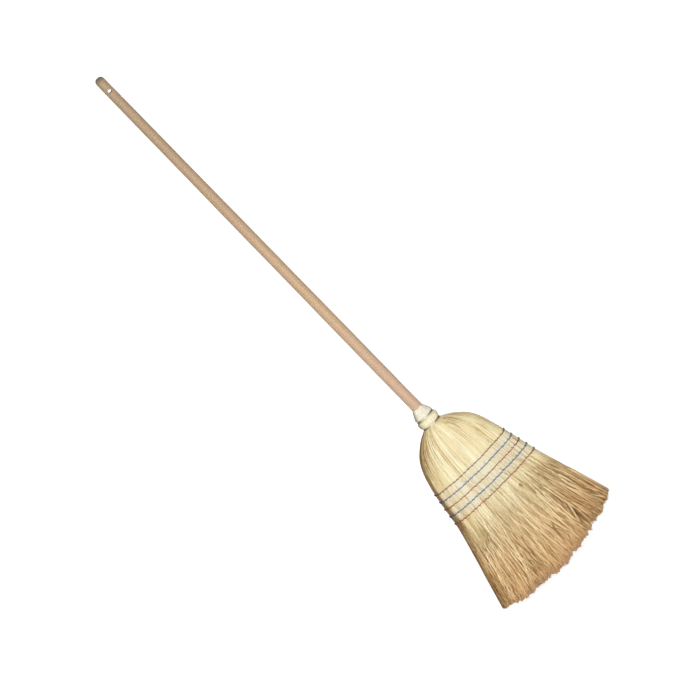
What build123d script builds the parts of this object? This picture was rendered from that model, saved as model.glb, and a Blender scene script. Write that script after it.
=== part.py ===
from build123d import *

import math
import os

# A flat sewn broom of sorghum straw on a bare wooden stick.
# Millimetres. +Z runs up the stick, +X across the broad face, and the front looks towards -Y.
# Heights are drawn from the lowest straw tips. The finished broom is then moved so that the origin
# lies in the middle of the hanging hole, because a broom can't stand by itself and hangs on a nail.

# Overall
overall_length = 1400.0
neck_height = 400.0

# Stick
handle_top_diameter = 21.0
handle_neck_diameter = 25.0
handle_top_round = 6.0
hang_hole_diameter = 8.0
hang_hole_inset = 38.0
handle_reach = 100.0
handle_point_length = 72.0
handle_point_diameter = 12.0

# Clearances
stick_clearance = 0.2
layer_clearance = 0.3
wire_clearance = 0.1
tack_clearance = 0.05
twine_clearance = 0.15

# Collar of stalk ends
inside_stalk_count = 16
inside_stalk_thickness = 4.0
inside_stalk_height = 30.0
cover_stalk_count = 24
cover_thickness = 6.0
stalk_gap = 1.0
lower_tier_height = 14.3
upper_tier_height = 22.0
lower_tier_bulge = 1.9
upper_tier_foot_inset = 0.4
collar_top_wall = 0.9

# Binding wire and its tacks
wire_diameter = 1.2
wire_pitch = 1.65
inner_wire_turns = 2
inner_wire_rise = 10.0
lower_wire_turns = 3
upper_wire_turns = 2
inner_groove_depth = 2.2
lower_groove_depth = 1.4
upper_groove_depth = 2.4
tack_shank_diameter = 1.0
tack_head_diameter = 2.0
tack_head_thickness = 0.6
tack_bite = 5.0
groove_margin = 0.15

# Bound straw, from the neck down to the end of the sewn part
shoulder_half_width = 78.0
shoulder_run = 25.0
bound_flare = 0.19
shoulder_half_thickness = 38.0
thickness_run = 18.0
bound_thinning = 0.055
shoulder_split_top = 10.0
shoulder_split_foot = 48.0

# Rows of sewing twine and their knots
row_count = 5
first_row_drop = 109.0
row_pitch = 18.0
last_row_margin = 12.0
twine_diameter = 2.2
knot_length = 6.0
knot_diameter = 4.4
knot_end_diameter = 2.8

# Loose sweep below the sewn part
slice_thickness = 6.0
strand_root = 2.0
strand_radius = 1.5
strand_sides = 4
course_spacing = 5.4
course_wall = 0.2
inner_spacing = 6.4
sweep_spread = 0.29
sweep_thickening = 0.045
sweep_lean = 4.0
trim_radius = 370.0
trim_low_point = -27.0
trim_flat = 0.5
ragged_length = 7.0

# Sizes that follow from the ones above
handle_radius = handle_neck_diameter / 2
inside_stalk_inner = handle_radius + stick_clearance
inside_stalk_outer = inside_stalk_inner + inside_stalk_thickness
cover_inner = inside_stalk_outer + layer_clearance
neck_radius = cover_inner + cover_thickness
wire_radius = wire_diameter / 2
tack_radius = tack_shank_diameter / 2
tack_head_radius = tack_head_diameter / 2
twine_radius = twine_diameter / 2
bound_length = first_row_drop + (row_count - 1) * row_pitch + last_row_margin
row_drops = [first_row_drop + row * row_pitch for row in range(row_count)]
handle_foot = neck_height - handle_reach
hang_hole_height = overall_length - hang_hole_inset


def groove_height(turns):
    """Height of a groove that holds a winding and the heads of its two tacks."""
    return turns * wire_pitch + 2 * (tack_head_radius + groove_margin)


def first_turn(groove_foot):
    """Height of a winding's first tack above the foot of its groove."""
    return groove_foot + tack_head_radius + groove_margin


lower_groove_top = neck_height + groove_height(lower_wire_turns)
lower_tier_top = lower_groove_top + lower_tier_height
upper_groove_top = lower_tier_top + groove_height(upper_wire_turns)
collar_top = upper_groove_top + upper_tier_height
inside_stalk_top = neck_height + inside_stalk_height
inner_groove_foot = neck_height + inner_wire_rise
inner_groove_top = inner_groove_foot + groove_height(inner_wire_turns)
inner_groove_radius = inside_stalk_outer - inner_groove_depth
lower_groove_radius = neck_radius - lower_groove_depth
upper_groove_radius = neck_radius - upper_groove_depth

# Each winding: its name, the radius it lies on, the height of its first tack, its turns
windings = [
    ("inner_wire", inner_groove_radius, first_turn(inner_groove_foot), inner_wire_turns),
    ("lower_wire", lower_groove_radius, first_turn(neck_height), lower_wire_turns),
    ("upper_wire", upper_groove_radius, first_turn(lower_tier_top), upper_wire_turns),
]


class Oval:
    """A four-arc oval: wide arcs front and back, and round arcs at the two ends."""

    def __init__(self, half_width, half_thickness, turn=None):
        if turn is None:
            turn = math.pi / 2 - math.pi / 4 * half_thickness / half_width
        self.a, self.b, self.turn = half_width, half_thickness, turn
        reach = (self.a - self.b) / (math.sin(turn) + math.cos(turn) - 1)
        self.end_radius = self.a - reach * math.cos(turn)
        self.face_radius = self.b + reach * math.sin(turn)
        self.meet_x = self.a - self.end_radius * (1 - math.cos(turn))
        self.meet_y = self.end_radius * math.sin(turn)

    def inset(self, amount):
        """The parallel oval that lies this far inside, or outside if negative."""
        return Oval(self.a - amount, self.b - amount, self.turn)

    def height(self, x):
        """Half thickness of the oval at x, or nothing beyond its ends."""
        across = abs(x)
        if across >= self.a:
            return 0.0
        if across <= self.meet_x:
            return math.sqrt(self.face_radius**2 - x**2) - (self.face_radius - self.b)
        return math.sqrt(self.end_radius**2 - (across - self.a + self.end_radius) ** 2)


def head_oval(drop):
    """Outside of the bound straw at a drop below the neck: it flares fast, then steadily."""
    wide = shoulder_half_width - (shoulder_half_width - neck_radius) * math.exp(-drop / shoulder_run)
    thick = shoulder_half_thickness
    thick -= (shoulder_half_thickness - neck_radius) * math.exp(-drop / thickness_run)
    half_width = wide + bound_flare * drop
    half_thickness = thick - bound_thinning * drop
    if drop == 0:
        return Oval(neck_radius + 1e-6, neck_radius, math.pi / 4)
    return Oval(half_width, half_thickness)


def oval_face(drop, inset):
    """Flat face of the bound straw at a drop below the neck, drawn in by an inset."""
    oval = head_oval(drop).inset(inset)
    x, y = oval.meet_x, oval.meet_y
    with BuildSketch(Plane.XY.offset(neck_height - drop)) as face:
        with BuildLine():
            ThreePointArc((-x, -y), (0, -oval.b), (x, -y))
            ThreePointArc((x, -y), (oval.a, 0), (x, y))
            ThreePointArc((x, y), (0, oval.b), (-x, y))
            ThreePointArc((-x, y), (-oval.a, 0), (-x, -y))
        make_face()
    return face.sketch


shoulder_drops = [first_row_drop * share for share in (0, 0.045, 0.11, 0.2, 0.33, 0.55)]
bound_drops = [*shoulder_drops, *row_drops, bound_length]
slice_drops = [bound_length, bound_length + slice_thickness]


def cover_shell(drops):
    """The cover straw between two drops, front and back in one."""
    with BuildPart() as shell:
        loft(sections=[oval_face(drop, 0) for drop in drops])
        loft(sections=[oval_face(drop, cover_thickness) for drop in drops], mode=Mode.SUBTRACT)
    return shell.part


def inner_fill(drops):
    """The straw inside the cover between two drops, before it is parted into bundles."""
    with BuildPart() as fill:
        loft(sections=[oval_face(drop, cover_thickness + layer_clearance) for drop in drops])
    return fill.part


def shoulder_plane(side):
    """The slanted plane that parts a shoulder from the inside straw. Side is +1 or -1 along X."""
    lean = shoulder_split_foot - shoulder_split_top
    outward = (side * bound_length, 0, lean)
    return Plane(origin=(side * shoulder_split_top, 0, neck_height), x_dir=(0, 1, 0), z_dir=outward)


# Stick: one turned profile, with the hanging hole and the holes for the tacks
with BuildPart() as handle:
    with BuildSketch(Plane.XZ):
        with BuildLine():
            Polyline(
                (0, handle_foot),
                (handle_point_diameter / 2, handle_foot),
                (handle_radius, handle_foot + handle_point_length),
                (handle_radius, collar_top),
                (handle_top_diameter / 2, overall_length),
                (0, overall_length),
                close=True,
            )
        make_face()
    revolve(axis=Axis.Z)
    fillet(handle.edges().sort_by(Axis.Z)[-1], handle_top_round)
    with BuildSketch(Plane.XZ):
        with Locations((0, hang_hole_height)):
            Circle(hang_hole_diameter / 2)
    extrude(amount=handle_top_diameter, both=True, mode=Mode.SUBTRACT)
    with BuildSketch(Plane.XZ.offset(tack_bite - handle_radius)):
        for _, _, first_z, turns in windings:
            with Locations((0, first_z), (0, first_z + turns * wire_pitch)):
                Circle(tack_radius + tack_clearance)
    extrude(amount=-2 * tack_bite, mode=Mode.SUBTRACT)

# The room that the stick's lower end takes inside the straw
with BuildPart() as handle_room:
    with BuildSketch(Plane.XZ):
        with BuildLine():
            Polyline(
                (0, handle_foot - stick_clearance),
                (handle_point_diameter / 2 + stick_clearance, handle_foot - stick_clearance),
                (inside_stalk_inner, handle_foot + handle_point_length),
                (inside_stalk_inner, collar_top),
                (0, collar_top),
                close=True,
            )
        make_face()
    revolve(axis=Axis.Z)

# The holes that the tacks leave in the stalks behind the wires
with BuildPart() as tack_holes:
    with BuildSketch(Plane.XZ):
        for _, _, first_z, turns in windings:
            with Locations((0, first_z), (0, first_z + turns * wire_pitch)):
                Circle(tack_radius + tack_clearance)
    extrude(amount=-2 * neck_radius)

# Inside stalks: wedges round the stick, with a groove for the inner wire
inside_stalk_sector = 360 / inside_stalk_count - stalk_gap
with BuildPart() as inside_stalk:
    with BuildSketch(Plane.XZ):
        with BuildLine():
            Polyline(
                (inside_stalk_inner, neck_height),
                (inside_stalk_outer, neck_height),
                (inside_stalk_outer, inner_groove_foot),
                (inner_groove_radius, inner_groove_foot),
                (inner_groove_radius, inner_groove_top),
                (inside_stalk_outer, inner_groove_top),
                (inside_stalk_outer, inside_stalk_top),
                (inside_stalk_inner, inside_stalk_top),
                close=True,
            )
        make_face()
    revolve(axis=Axis.Z, revolution_arc=inside_stalk_sector)

with BuildPart() as inside_stalks:
    with PolarLocations(0, inside_stalk_count, start_angle=90 - inside_stalk_sector / 2):
        add(inside_stalk.part)
    add(tack_holes.part, mode=Mode.SUBTRACT)

# Cover stalks: wedges pared to a cone at the top, with a groove under each tier
cover_stalk_sector = 360 / cover_stalk_count - stalk_gap
with BuildPart() as cover_stalk:
    with BuildSketch(Plane.XZ):
        with BuildLine():
            Polyline(
                (neck_radius, lower_tier_top),
                (upper_groove_radius, lower_tier_top),
                (upper_groove_radius, upper_groove_top),
                (neck_radius - upper_tier_foot_inset, upper_groove_top),
                (inside_stalk_inner + collar_top_wall, collar_top),
                (inside_stalk_inner, collar_top),
                (inside_stalk_inner, inside_stalk_top + layer_clearance),
                (cover_inner, inside_stalk_top + layer_clearance),
                (cover_inner, neck_height),
                (lower_groove_radius, neck_height),
                (lower_groove_radius, lower_groove_top),
                (neck_radius, lower_groove_top),
            )
            ThreePointArc(
                (neck_radius, lower_groove_top),
                (neck_radius + lower_tier_bulge, (lower_groove_top + lower_tier_top) / 2),
                (neck_radius, lower_tier_top),
            )
        make_face()
    revolve(axis=Axis.Z, revolution_arc=cover_stalk_sector)

with BuildPart() as cover_stalks:
    with PolarLocations(0, cover_stalk_count, start_angle=90 - cover_stalk_sector / 2):
        add(cover_stalk.part)
    add(tack_holes.part, mode=Mode.SUBTRACT)


def least_gap(path, diameter, samples):
    """Least gap between stretches of a tube that lie apart along its path, measured on points."""
    step = path.length / samples
    points = [path.position_at(index * step, PositionMode.LENGTH) for index in range(samples + 1)]
    apart = math.ceil(3 * diameter / step)
    distances = [
        (points[i] - points[k]).length for i in range(samples) for k in range(i + apart, samples + 1)
    ]
    return min(distances) - diameter


def add_biarc(start, start_way, end, end_way):
    """Two arcs that leave start along one way and reach end along the other."""
    chord = end - start
    both = start_way + end_way
    bend = 2 * (1 - start_way.dot(end_way))
    along = chord.dot(both)
    reach = (math.sqrt(along**2 + bend * chord.dot(chord)) - along) / bend
    joint = (start + end + (start_way - end_way) * reach) / 2
    first = TangentArc(start, joint, tangent=start_way)
    TangentArc(joint, end, tangent=first % 1)


def winding_path(seat_radius, first_z, turns):
    """A wire that climbs round the neck from one tack to the other, both at the back."""
    radius = seat_radius + wire_clearance + wire_radius
    stop = (tack_radius + wire_clearance + wire_diameter) / radius
    begin = math.pi / 2 + stop
    spans = 4 * turns
    step = (2 * math.pi * turns - 2 * stop) / spans
    rise = wire_pitch / (2 * math.pi)
    places, ways = [], []
    for span in range(spans + 1):
        angle = begin + span * step
        level = first_z + rise * (angle - math.pi / 2)
        places.append(Vector(radius * math.cos(angle), radius * math.sin(angle), level))
        ways.append(Vector(-radius * math.sin(angle), radius * math.cos(angle), rise).normalized())
    with BuildLine() as path:
        Line(places[0] - ways[0] * wire_diameter, places[0])
        for span in range(spans):
            add_biarc(places[span], ways[span], places[span + 1], ways[span + 1])
        Line(places[-1], places[-1] + ways[-1] * wire_diameter)
    return path.wire()


pieces = {
    "handle": handle.part,
    "inside_stalks": inside_stalks.part,
    "cover_stalks": cover_stalks.part,
}

# Binding wires
for name, seat_radius, first_z, turns in windings:
    path = winding_path(seat_radius, first_z, turns)
    with BuildPart() as wire:
        with BuildSketch(Plane(origin=path @ 0, z_dir=path % 0)):
            Circle(wire_radius)
        sweep(path=path)
    print(name, "least gap to itself", round(least_gap(path, wire_diameter, 240 * turns), 2), "mm")
    pieces[name] = wire.part

# Tacks: a shank into the stick and a flat head over the wire's end
with BuildPart() as binding_tacks:
    for _, seat_radius, first_z, turns in windings:
        under_head = seat_radius + 2 * wire_clearance + wire_diameter
        for level in (first_z, first_z + turns * wire_pitch):
            with BuildSketch(Plane.XZ.offset(tack_bite - handle_radius)):
                with Locations((0, level)):
                    Circle(tack_radius)
            extrude(amount=handle_radius - tack_bite - under_head)
            with BuildSketch(Plane.XZ.offset(-under_head)):
                with Locations((0, level)):
                    Circle(tack_head_radius)
            extrude(amount=-tack_head_thickness)
pieces["binding_tacks"] = binding_tacks.part

# Inside straw and the two shoulders, round the point of the stick
with BuildPart() as inside_corn:
    add(inner_fill(bound_drops))
    add(handle_room.part, mode=Mode.SUBTRACT)
    split(bisect_by=shoulder_plane(1), keep=Keep.BOTTOM)
    split(bisect_by=shoulder_plane(-1), keep=Keep.BOTTOM)
pieces["inside_corn"] = inside_corn.part

for name, side in (("left_shoulder_corn", -1), ("right_shoulder_corn", 1)):
    with BuildPart() as shoulder:
        add(inner_fill(bound_drops))
        add(handle_room.part, mode=Mode.SUBTRACT)
        split(bisect_by=shoulder_plane(side), keep=Keep.TOP)
    pieces[name] = shoulder.part


def row_oval(drop):
    """The line that the twine's middle follows round the head, just clear of the straw."""
    flank = math.atan(bound_flare + bound_thinning)
    return head_oval(drop).inset(-(twine_radius / math.cos(flank) + twine_clearance))


# Covers, front and back, with a hollow pressed in by each knot
with BuildPart() as knot_hollows:
    for drop in row_drops:
        with Locations((-row_oval(drop).a, 0, neck_height - drop)):
            Cylinder(
                knot_diameter / 2 + twine_clearance,
                knot_length + 2 * twine_clearance,
                rotation=(90, 0, 0),
            )

for name, keep in (("front_cover_corn", Keep.TOP), ("back_cover_corn", Keep.BOTTOM)):
    with BuildPart() as cover:
        add(cover_shell(bound_drops))
        add(knot_hollows.part, mode=Mode.SUBTRACT)
        split(bisect_by=Plane.XZ, keep=keep)
    pieces[name] = cover.part

def behind(place):
    """The same place on the back of the broom."""
    return Vector(place.X, -place.Y, place.Z)


# Twine rows: each leaves its knot at the left edge, goes once round and comes back to it
for row, drop in enumerate(row_drops):
    oval = row_oval(drop)
    level = neck_height - drop
    straight_end = knot_length / 2 + twine_diameter
    face_centre = oval.face_radius - oval.b
    left_radius = oval.face_radius**2 - oval.a**2 - (face_centre + straight_end) ** 2
    left_radius /= 2 * (oval.face_radius - oval.a)
    to_end = Vector(left_radius - oval.a, -straight_end - face_centre).normalized()
    left_meet = Vector(left_radius - oval.a, -straight_end) + to_end * left_radius
    knot_end = Vector(-oval.a, -knot_length / 2, level)
    left_end = Vector(-oval.a, -straight_end, level)
    left_meet += Vector(0, 0, level)
    right_meet = Vector(oval.meet_x, -oval.meet_y, level)
    with BuildLine() as loop:
        Line(knot_end, left_end)
        TangentArc(left_end, left_meet, tangent=(0, -1))
        ThreePointArc(left_meet, (0, -oval.b, level), right_meet)
        ThreePointArc(right_meet, (oval.a, 0, level), behind(right_meet))
        back = ThreePointArc(behind(right_meet), (0, oval.b, level), behind(left_meet))
        TangentArc(behind(left_meet), behind(left_end), tangent=back % 1)
        Line(behind(left_end), behind(knot_end))
    path = loop.wire()
    with BuildPart() as twine:
        with BuildSketch(Plane(origin=path @ 0, z_dir=path % 0)):
            Circle(twine_radius)
        sweep(path=path)
    name = f"twine_row_{row + 1}"
    print(name, "least gap to itself", round(least_gap(path, twine_diameter, 120), 2), "mm")
    pieces[name] = twine.part

# Knots: a small barrel between the two ends of each row
with BuildPart() as twine_knots:
    for drop in row_drops:
        edge, level = -row_oval(drop).a, neck_height - drop
        with BuildSketch(Plane.XY.offset(level)):
            with BuildLine():
                Polyline(
                    (edge + knot_end_diameter / 2, -knot_length / 2),
                    (edge, -knot_length / 2),
                    (edge, knot_length / 2),
                    (edge + knot_end_diameter / 2, knot_length / 2),
                )
                ThreePointArc(
                    (edge + knot_end_diameter / 2, -knot_length / 2),
                    (edge + knot_diameter / 2, 0),
                    (edge + knot_end_diameter / 2, knot_length / 2),
                )
            make_face()
        revolve(axis=Axis((edge, 0, level), (0, 1, 0)))
pieces["twine_knots"] = twine_knots.part

# Loose sweep: straight strands that fan out from a slice of the bound straw to the trimmed edge
root_height = neck_height - bound_length - slice_thickness
slice_oval = head_oval(bound_length + slice_thickness)


def trimmed_edge(x):
    """Height of the trimmed edge at x: a wide arc that hangs lowest left of the stick."""
    return trim_radius - math.sqrt(trim_radius**2 - (x - trim_low_point) ** 2)


def fanned(x, y, height):
    """Where a strand that starts at x and y comes to at a height below the slice."""
    drop = root_height - height
    fan_x = x * (1 + sweep_spread * drop / slice_oval.a) + sweep_lean * drop / root_height
    return fan_x, y * (1 + sweep_thickening * drop / slice_oval.b)


def strand(x, y, number):
    """One straw tuft from the slice to the trimmed edge, a little shorter than its neighbours or not."""
    height = 0.0
    for _ in range(4):
        height = trimmed_edge(fanned(x, y, height)[0])
    golden = (math.sqrt(5) - 1) / 2
    height = max(0, height - trim_flat + ragged_length * (number * golden % 1))
    spin = 360 * (number * golden % 1)
    with BuildPart() as tuft:
        with BuildSketch(Plane((*fanned(x, y, root_height + strand_root), root_height + strand_root))):
            RegularPolygon(strand_radius, strand_sides, rotation=spin)
        with BuildSketch(Plane((*fanned(x, y, height), height))):
            RegularPolygon(strand_radius, strand_sides, rotation=spin)
        loft(ruled=True)
    return tuft.part


def course_roots(inset, shift):
    """Points along the front half of the slice's oval, drawn in by an inset, evenly spaced."""
    oval = slice_oval.inset(inset)
    end_arc = oval.end_radius * oval.turn
    face_arc = 2 * oval.face_radius * (math.pi / 2 - oval.turn)
    length = 2 * end_arc + face_arc
    count = int((length - 2 * strand_radius - course_spacing) / course_spacing)
    margin = (length - count * course_spacing) / 2
    for step in range(count + 1 - shift):
        along = margin + (step + shift / 2) * course_spacing
        if along < end_arc or along > length - end_arc:
            side = -1 if along < end_arc else 1
            angle = min(along, length - along) / oval.end_radius
            middle = oval.a - oval.end_radius
            yield side * (middle + oval.end_radius * math.cos(angle)), -oval.end_radius * math.sin(angle)
        else:
            angle = (along - length / 2) / oval.face_radius
            depth = oval.face_radius * math.cos(angle) - (oval.face_radius - oval.b)
            yield oval.face_radius * math.sin(angle), -depth


def inner_roots(lowest_x, highest_x):
    """Points of an even grid inside the slice's inner oval, between two lines across it."""
    oval = slice_oval.inset(cover_thickness + layer_clearance + strand_radius + course_wall)
    columns = math.floor(oval.a / inner_spacing)
    rows = math.floor(oval.b / inner_spacing) + 1
    for column in range(-columns, columns + 1):
        x = column * inner_spacing
        if not lowest_x + strand_radius < x < highest_x - strand_radius:
            continue
        for row in range(-rows, rows + 1):
            y = (row + (column % 2) / 2) * inner_spacing
            if abs(y) <= oval.height(x):
                yield x, y


outer_course = strand_radius + course_wall
inner_course = cover_thickness - strand_radius - course_wall
strand_count = 0

for name, side, keep in (("front_cover_sweep", 1, Keep.TOP), ("back_cover_sweep", -1, Keep.BOTTOM)):
    roots = [*course_roots(outer_course, 0), *course_roots(inner_course, 1)]
    strands = [strand(x, side * y, number) for number, (x, y) in enumerate(roots)]
    with BuildPart() as sweep_piece:
        add(cover_shell(slice_drops))
        split(bisect_by=Plane.XZ, keep=keep)
        add(strands)
    strand_count += len(strands)
    pieces[name] = sweep_piece.part

edge_x = slice_oval.a
split_x = shoulder_split_foot
for name, lowest_x, highest_x in (
    ("inside_sweep", -split_x, split_x),
    ("left_shoulder_sweep", -edge_x, -split_x),
    ("right_shoulder_sweep", split_x, edge_x),
):
    strands = [strand(x, y, number) for number, (x, y) in enumerate(inner_roots(lowest_x, highest_x))]
    with BuildPart() as sweep_piece:
        add(inner_fill(slice_drops))
        if lowest_x < 0:
            split(bisect_by=shoulder_plane(-1), keep=Keep.TOP if highest_x < 0 else Keep.BOTTOM)
        if highest_x > 0:
            split(bisect_by=shoulder_plane(1), keep=Keep.TOP if lowest_x > 0 else Keep.BOTTOM)
        add(strands)
    strand_count += len(strands)
    pieces[name] = sweep_piece.part
print("sweep strands in all", strand_count)

# Hung up: the middle of the hanging hole comes to the origin
hung = Location((0, 0, -hang_hole_height))
os.makedirs("parts", exist_ok=True)
for name, piece in pieces.items():
    placed = piece.moved(hung)
    placed.label = name
    export_step(placed, f"parts/{name}.step")
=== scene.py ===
"""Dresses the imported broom: a bare stick, a wire-bound collar of pared stalks and a sewn straw head."""

from __future__ import annotations

import logging
import math
from dataclasses import dataclass, field, replace
from enum import Enum

import bpy
import numpy as np
from mathutils import Matrix, Vector

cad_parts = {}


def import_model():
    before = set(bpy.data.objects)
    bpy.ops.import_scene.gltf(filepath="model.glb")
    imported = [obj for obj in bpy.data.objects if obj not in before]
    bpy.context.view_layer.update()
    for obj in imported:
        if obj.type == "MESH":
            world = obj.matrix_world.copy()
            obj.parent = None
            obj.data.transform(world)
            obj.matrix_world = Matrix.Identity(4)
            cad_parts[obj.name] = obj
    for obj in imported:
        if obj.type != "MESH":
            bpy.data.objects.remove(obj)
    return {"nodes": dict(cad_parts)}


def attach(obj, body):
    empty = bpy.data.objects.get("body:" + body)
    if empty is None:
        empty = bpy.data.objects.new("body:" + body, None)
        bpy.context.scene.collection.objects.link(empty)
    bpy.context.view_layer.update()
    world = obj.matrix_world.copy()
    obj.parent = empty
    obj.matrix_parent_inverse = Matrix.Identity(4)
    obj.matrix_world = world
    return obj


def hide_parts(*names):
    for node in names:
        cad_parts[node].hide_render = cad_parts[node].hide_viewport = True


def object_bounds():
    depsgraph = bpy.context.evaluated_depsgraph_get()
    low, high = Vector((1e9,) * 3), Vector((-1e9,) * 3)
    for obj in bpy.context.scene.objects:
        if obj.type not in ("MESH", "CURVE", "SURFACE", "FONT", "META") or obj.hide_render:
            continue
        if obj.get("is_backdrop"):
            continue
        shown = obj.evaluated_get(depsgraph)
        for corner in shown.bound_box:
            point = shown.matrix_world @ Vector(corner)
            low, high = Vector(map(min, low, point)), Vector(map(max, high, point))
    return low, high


log = logging.getLogger("broom")
Array = np.ndarray
Rng = np.random.Generator
Material = bpy.types.Material
Mesh = bpy.types.Mesh
Piece = bpy.types.Object
Tree = bpy.types.NodeTree
Node = bpy.types.Node
Socket = bpy.types.NodeSocket
Outputs = bpy.types.NodeOutputs
Pair = tuple[float, float]
FULL_TURN = 2.0 * math.pi
OUTWARDS = np.array([1.0, 0.0, 0.0])
UPWARDS = np.array([0.0, 0.0, 1.0])
BODY = "root"
MAP_NAME = "OFBake"
# The corners of a tube's cap take turns on the map by this much, so that the cap has some area there.
CAP_STEP = 0.004
# Blender's mix node has many sockets of the same names, so its colours are picked by number.
MIXED_COLOURS = (6, 7)
MIXED_RESULT = 2


class Face(Enum):
    """The two broad faces of the head, as the stretch of the girth each covers."""

    FRONT = (0.5, 1.0)
    BACK = (0.0, 0.5)


class Dye(Enum):
    """Twine colours: dark and light strand of each, linear, and how far it has faded."""

    MADDER = ((0.20, 0.085, 0.040), (0.42, 0.20, 0.10), 0.58)
    RED = ((0.38, 0.070, 0.045), (0.64, 0.20, 0.13), 0.52)
    BLUE = ((0.045, 0.108, 0.29), (0.14, 0.255, 0.57), 0.16)


class Lie(Enum):
    """Axis that fibres follow: up the stick on Object coordinates, or along a map."""

    UP = (0.0, 0.0, 1.0)
    ALONG = (0.0, 1.0, 0.0)


def eased(share: Array) -> Array:
    """Smooth rise from 0 to 1, flat at both ends: 3s^2 - 2s^3, held outside."""
    held = np.clip(share, 0.0, 1.0)
    return held * held * (3.0 - 2.0 * held)


def unit(vectors: Array) -> Array:
    """The same vectors at length 1."""
    return vectors / np.maximum(np.linalg.norm(vectors, axis=-1, keepdims=True), 1e-12)


def even_angles(count: int) -> Array:
    """Angles evenly spaced over one full turn."""
    return np.arange(count) * (FULL_TURN / count)


def even_shares(count: int) -> Array:
    """Shares evenly spaced from 0 to 1."""
    return np.linspace(0.0, 1.0, count)


def around(angle: Array) -> Array:
    """Directions away from the Z axis at the given angles, as X and Y."""
    return np.stack([np.cos(angle), np.sin(angle)], -1)


@dataclass
class Surface:
    """A mesh as whole arrays: points, face corners, the first corner of each face and map places."""

    points: Array
    corners: Array
    starts: Array
    places: Array

    @staticmethod
    def joined(surfaces: list[Surface]) -> Surface:
        """Several surfaces as one, with their numbers moved along.

        Args:
            surfaces: The surfaces to put together.

        Returns:
            One surface that holds them all.
        """
        points_before = np.cumsum([0] + [len(s.points) for s in surfaces[:-1]])
        corners_before = np.cumsum([0] + [len(s.corners) for s in surfaces[:-1]])
        return Surface(
            np.concatenate([s.points for s in surfaces]),
            np.concatenate([s.corners + n for s, n in zip(surfaces, points_before)]),
            np.concatenate([s.starts + n for s, n in zip(surfaces, corners_before)]),
            np.concatenate([s.places for s in surfaces]),
        )

    def mesh(self, name: str) -> Mesh:
        """Puts the arrays into a Blender mesh, shaded smooth, with the map places.

        Args:
            name: Name of the mesh.

        Returns:
            The mesh.
        """
        mesh = bpy.data.meshes.new(name)
        mesh.vertices.add(len(self.points))
        mesh.vertices.foreach_set("co", self.points.astype(np.float32).ravel())
        mesh.loops.add(len(self.corners))
        mesh.loops.foreach_set("vertex_index", self.corners.astype(np.int32))
        mesh.polygons.add(len(self.starts))
        mesh.polygons.foreach_set("loop_start", self.starts.astype(np.int32))
        layer = mesh.uv_layers.new(name=MAP_NAME)
        layer.uv.foreach_set("vector", self.places.astype(np.float32).ravel())
        mesh.update(calc_edges=True)
        mesh.validate()
        mesh.polygons.foreach_set("use_smooth", np.ones(len(mesh.polygons), bool))
        return mesh


def tubes(paths: Array, across: Array, radii: Array | float, sides: int, flat: float,
          lanes: Array | float, runs: Array, lane_width: float = 0.012) -> Surface:
    """A round or flattened profile carried along many paths at once.

    At each path point the ring is point + radius * (cos(a) * L + flat * sin(a) * N), where L is the
    given sideways direction made square to the path, and N is path direction x L.

    Args:
        paths: Points, as strand x step x 3.
        across: Sideways directions of the same shape, or one for all.
        radii: Radius at each point, as strand x step, or what spreads to that.
        sides: Corners of each ring.
        flat: Thickness of the ring over its width.
        lanes: Map place across, in the same way.
        runs: Map place along, in the same way.
        lane_width: Width of a strand's lane on the map.

    Returns:
        The closed tubes as one surface.
    """
    count, steps = paths.shape[:2]
    radii, lanes, runs = (np.broadcast_to(value, (count, steps)) for value in (radii, lanes, runs))
    way = unit(np.gradient(paths, axis=1))
    side = unit(across - (across * way).sum(-1, keepdims=True) * way)
    up = np.cross(way, side)
    angle = even_angles(sides)
    ring = np.cos(angle)[:, None] * side[:, :, None] + flat * np.sin(angle)[:, None] * up[:, :, None]
    points = paths[:, :, None] + radii[:, :, None, None] * ring

    number = np.arange(count * steps * sides).reshape(count, steps, sides)
    after = np.roll(number, -1, axis=2)
    quads = np.stack([number[:, :-1], after[:, :-1], after[:, 1:], number[:, 1:]], axis=-1)
    caps = np.stack([number[:, 0, ::-1], number[:, -1]], axis=1)
    corners = np.concatenate([quads.ravel(), caps.ravel()])
    quad_count = quads.size // 4
    starts = np.concatenate([np.arange(quad_count) * 4, 4 * quad_count + np.arange(2 * count) * sides])

    left = lanes[:, :, None] + lane_width * np.arange(sides) / sides
    right = left + lane_width / sides
    level = np.broadcast_to(runs[:, :, None], left.shape)
    quad_x = np.stack([left[:, :-1], right[:, :-1], right[:, 1:], left[:, 1:]], -1)
    quad_y = np.stack([level[:, :-1], level[:, :-1], level[:, 1:], level[:, 1:]], -1)
    quad_places = np.stack([quad_x, quad_y], -1)
    cap_x = np.stack([left[:, 0, ::-1], left[:, -1]], axis=1)
    cap_y = np.stack([level[:, 0], level[:, -1]], axis=1) + CAP_STEP * (np.arange(sides) % 2)
    cap_places = np.stack([cap_x, cap_y], -1)
    places = np.concatenate([quad_places.reshape(-1, 2), cap_places.reshape(-1, 2)])
    return Surface(points.reshape(-1, 3), corners, starts, places)


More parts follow.
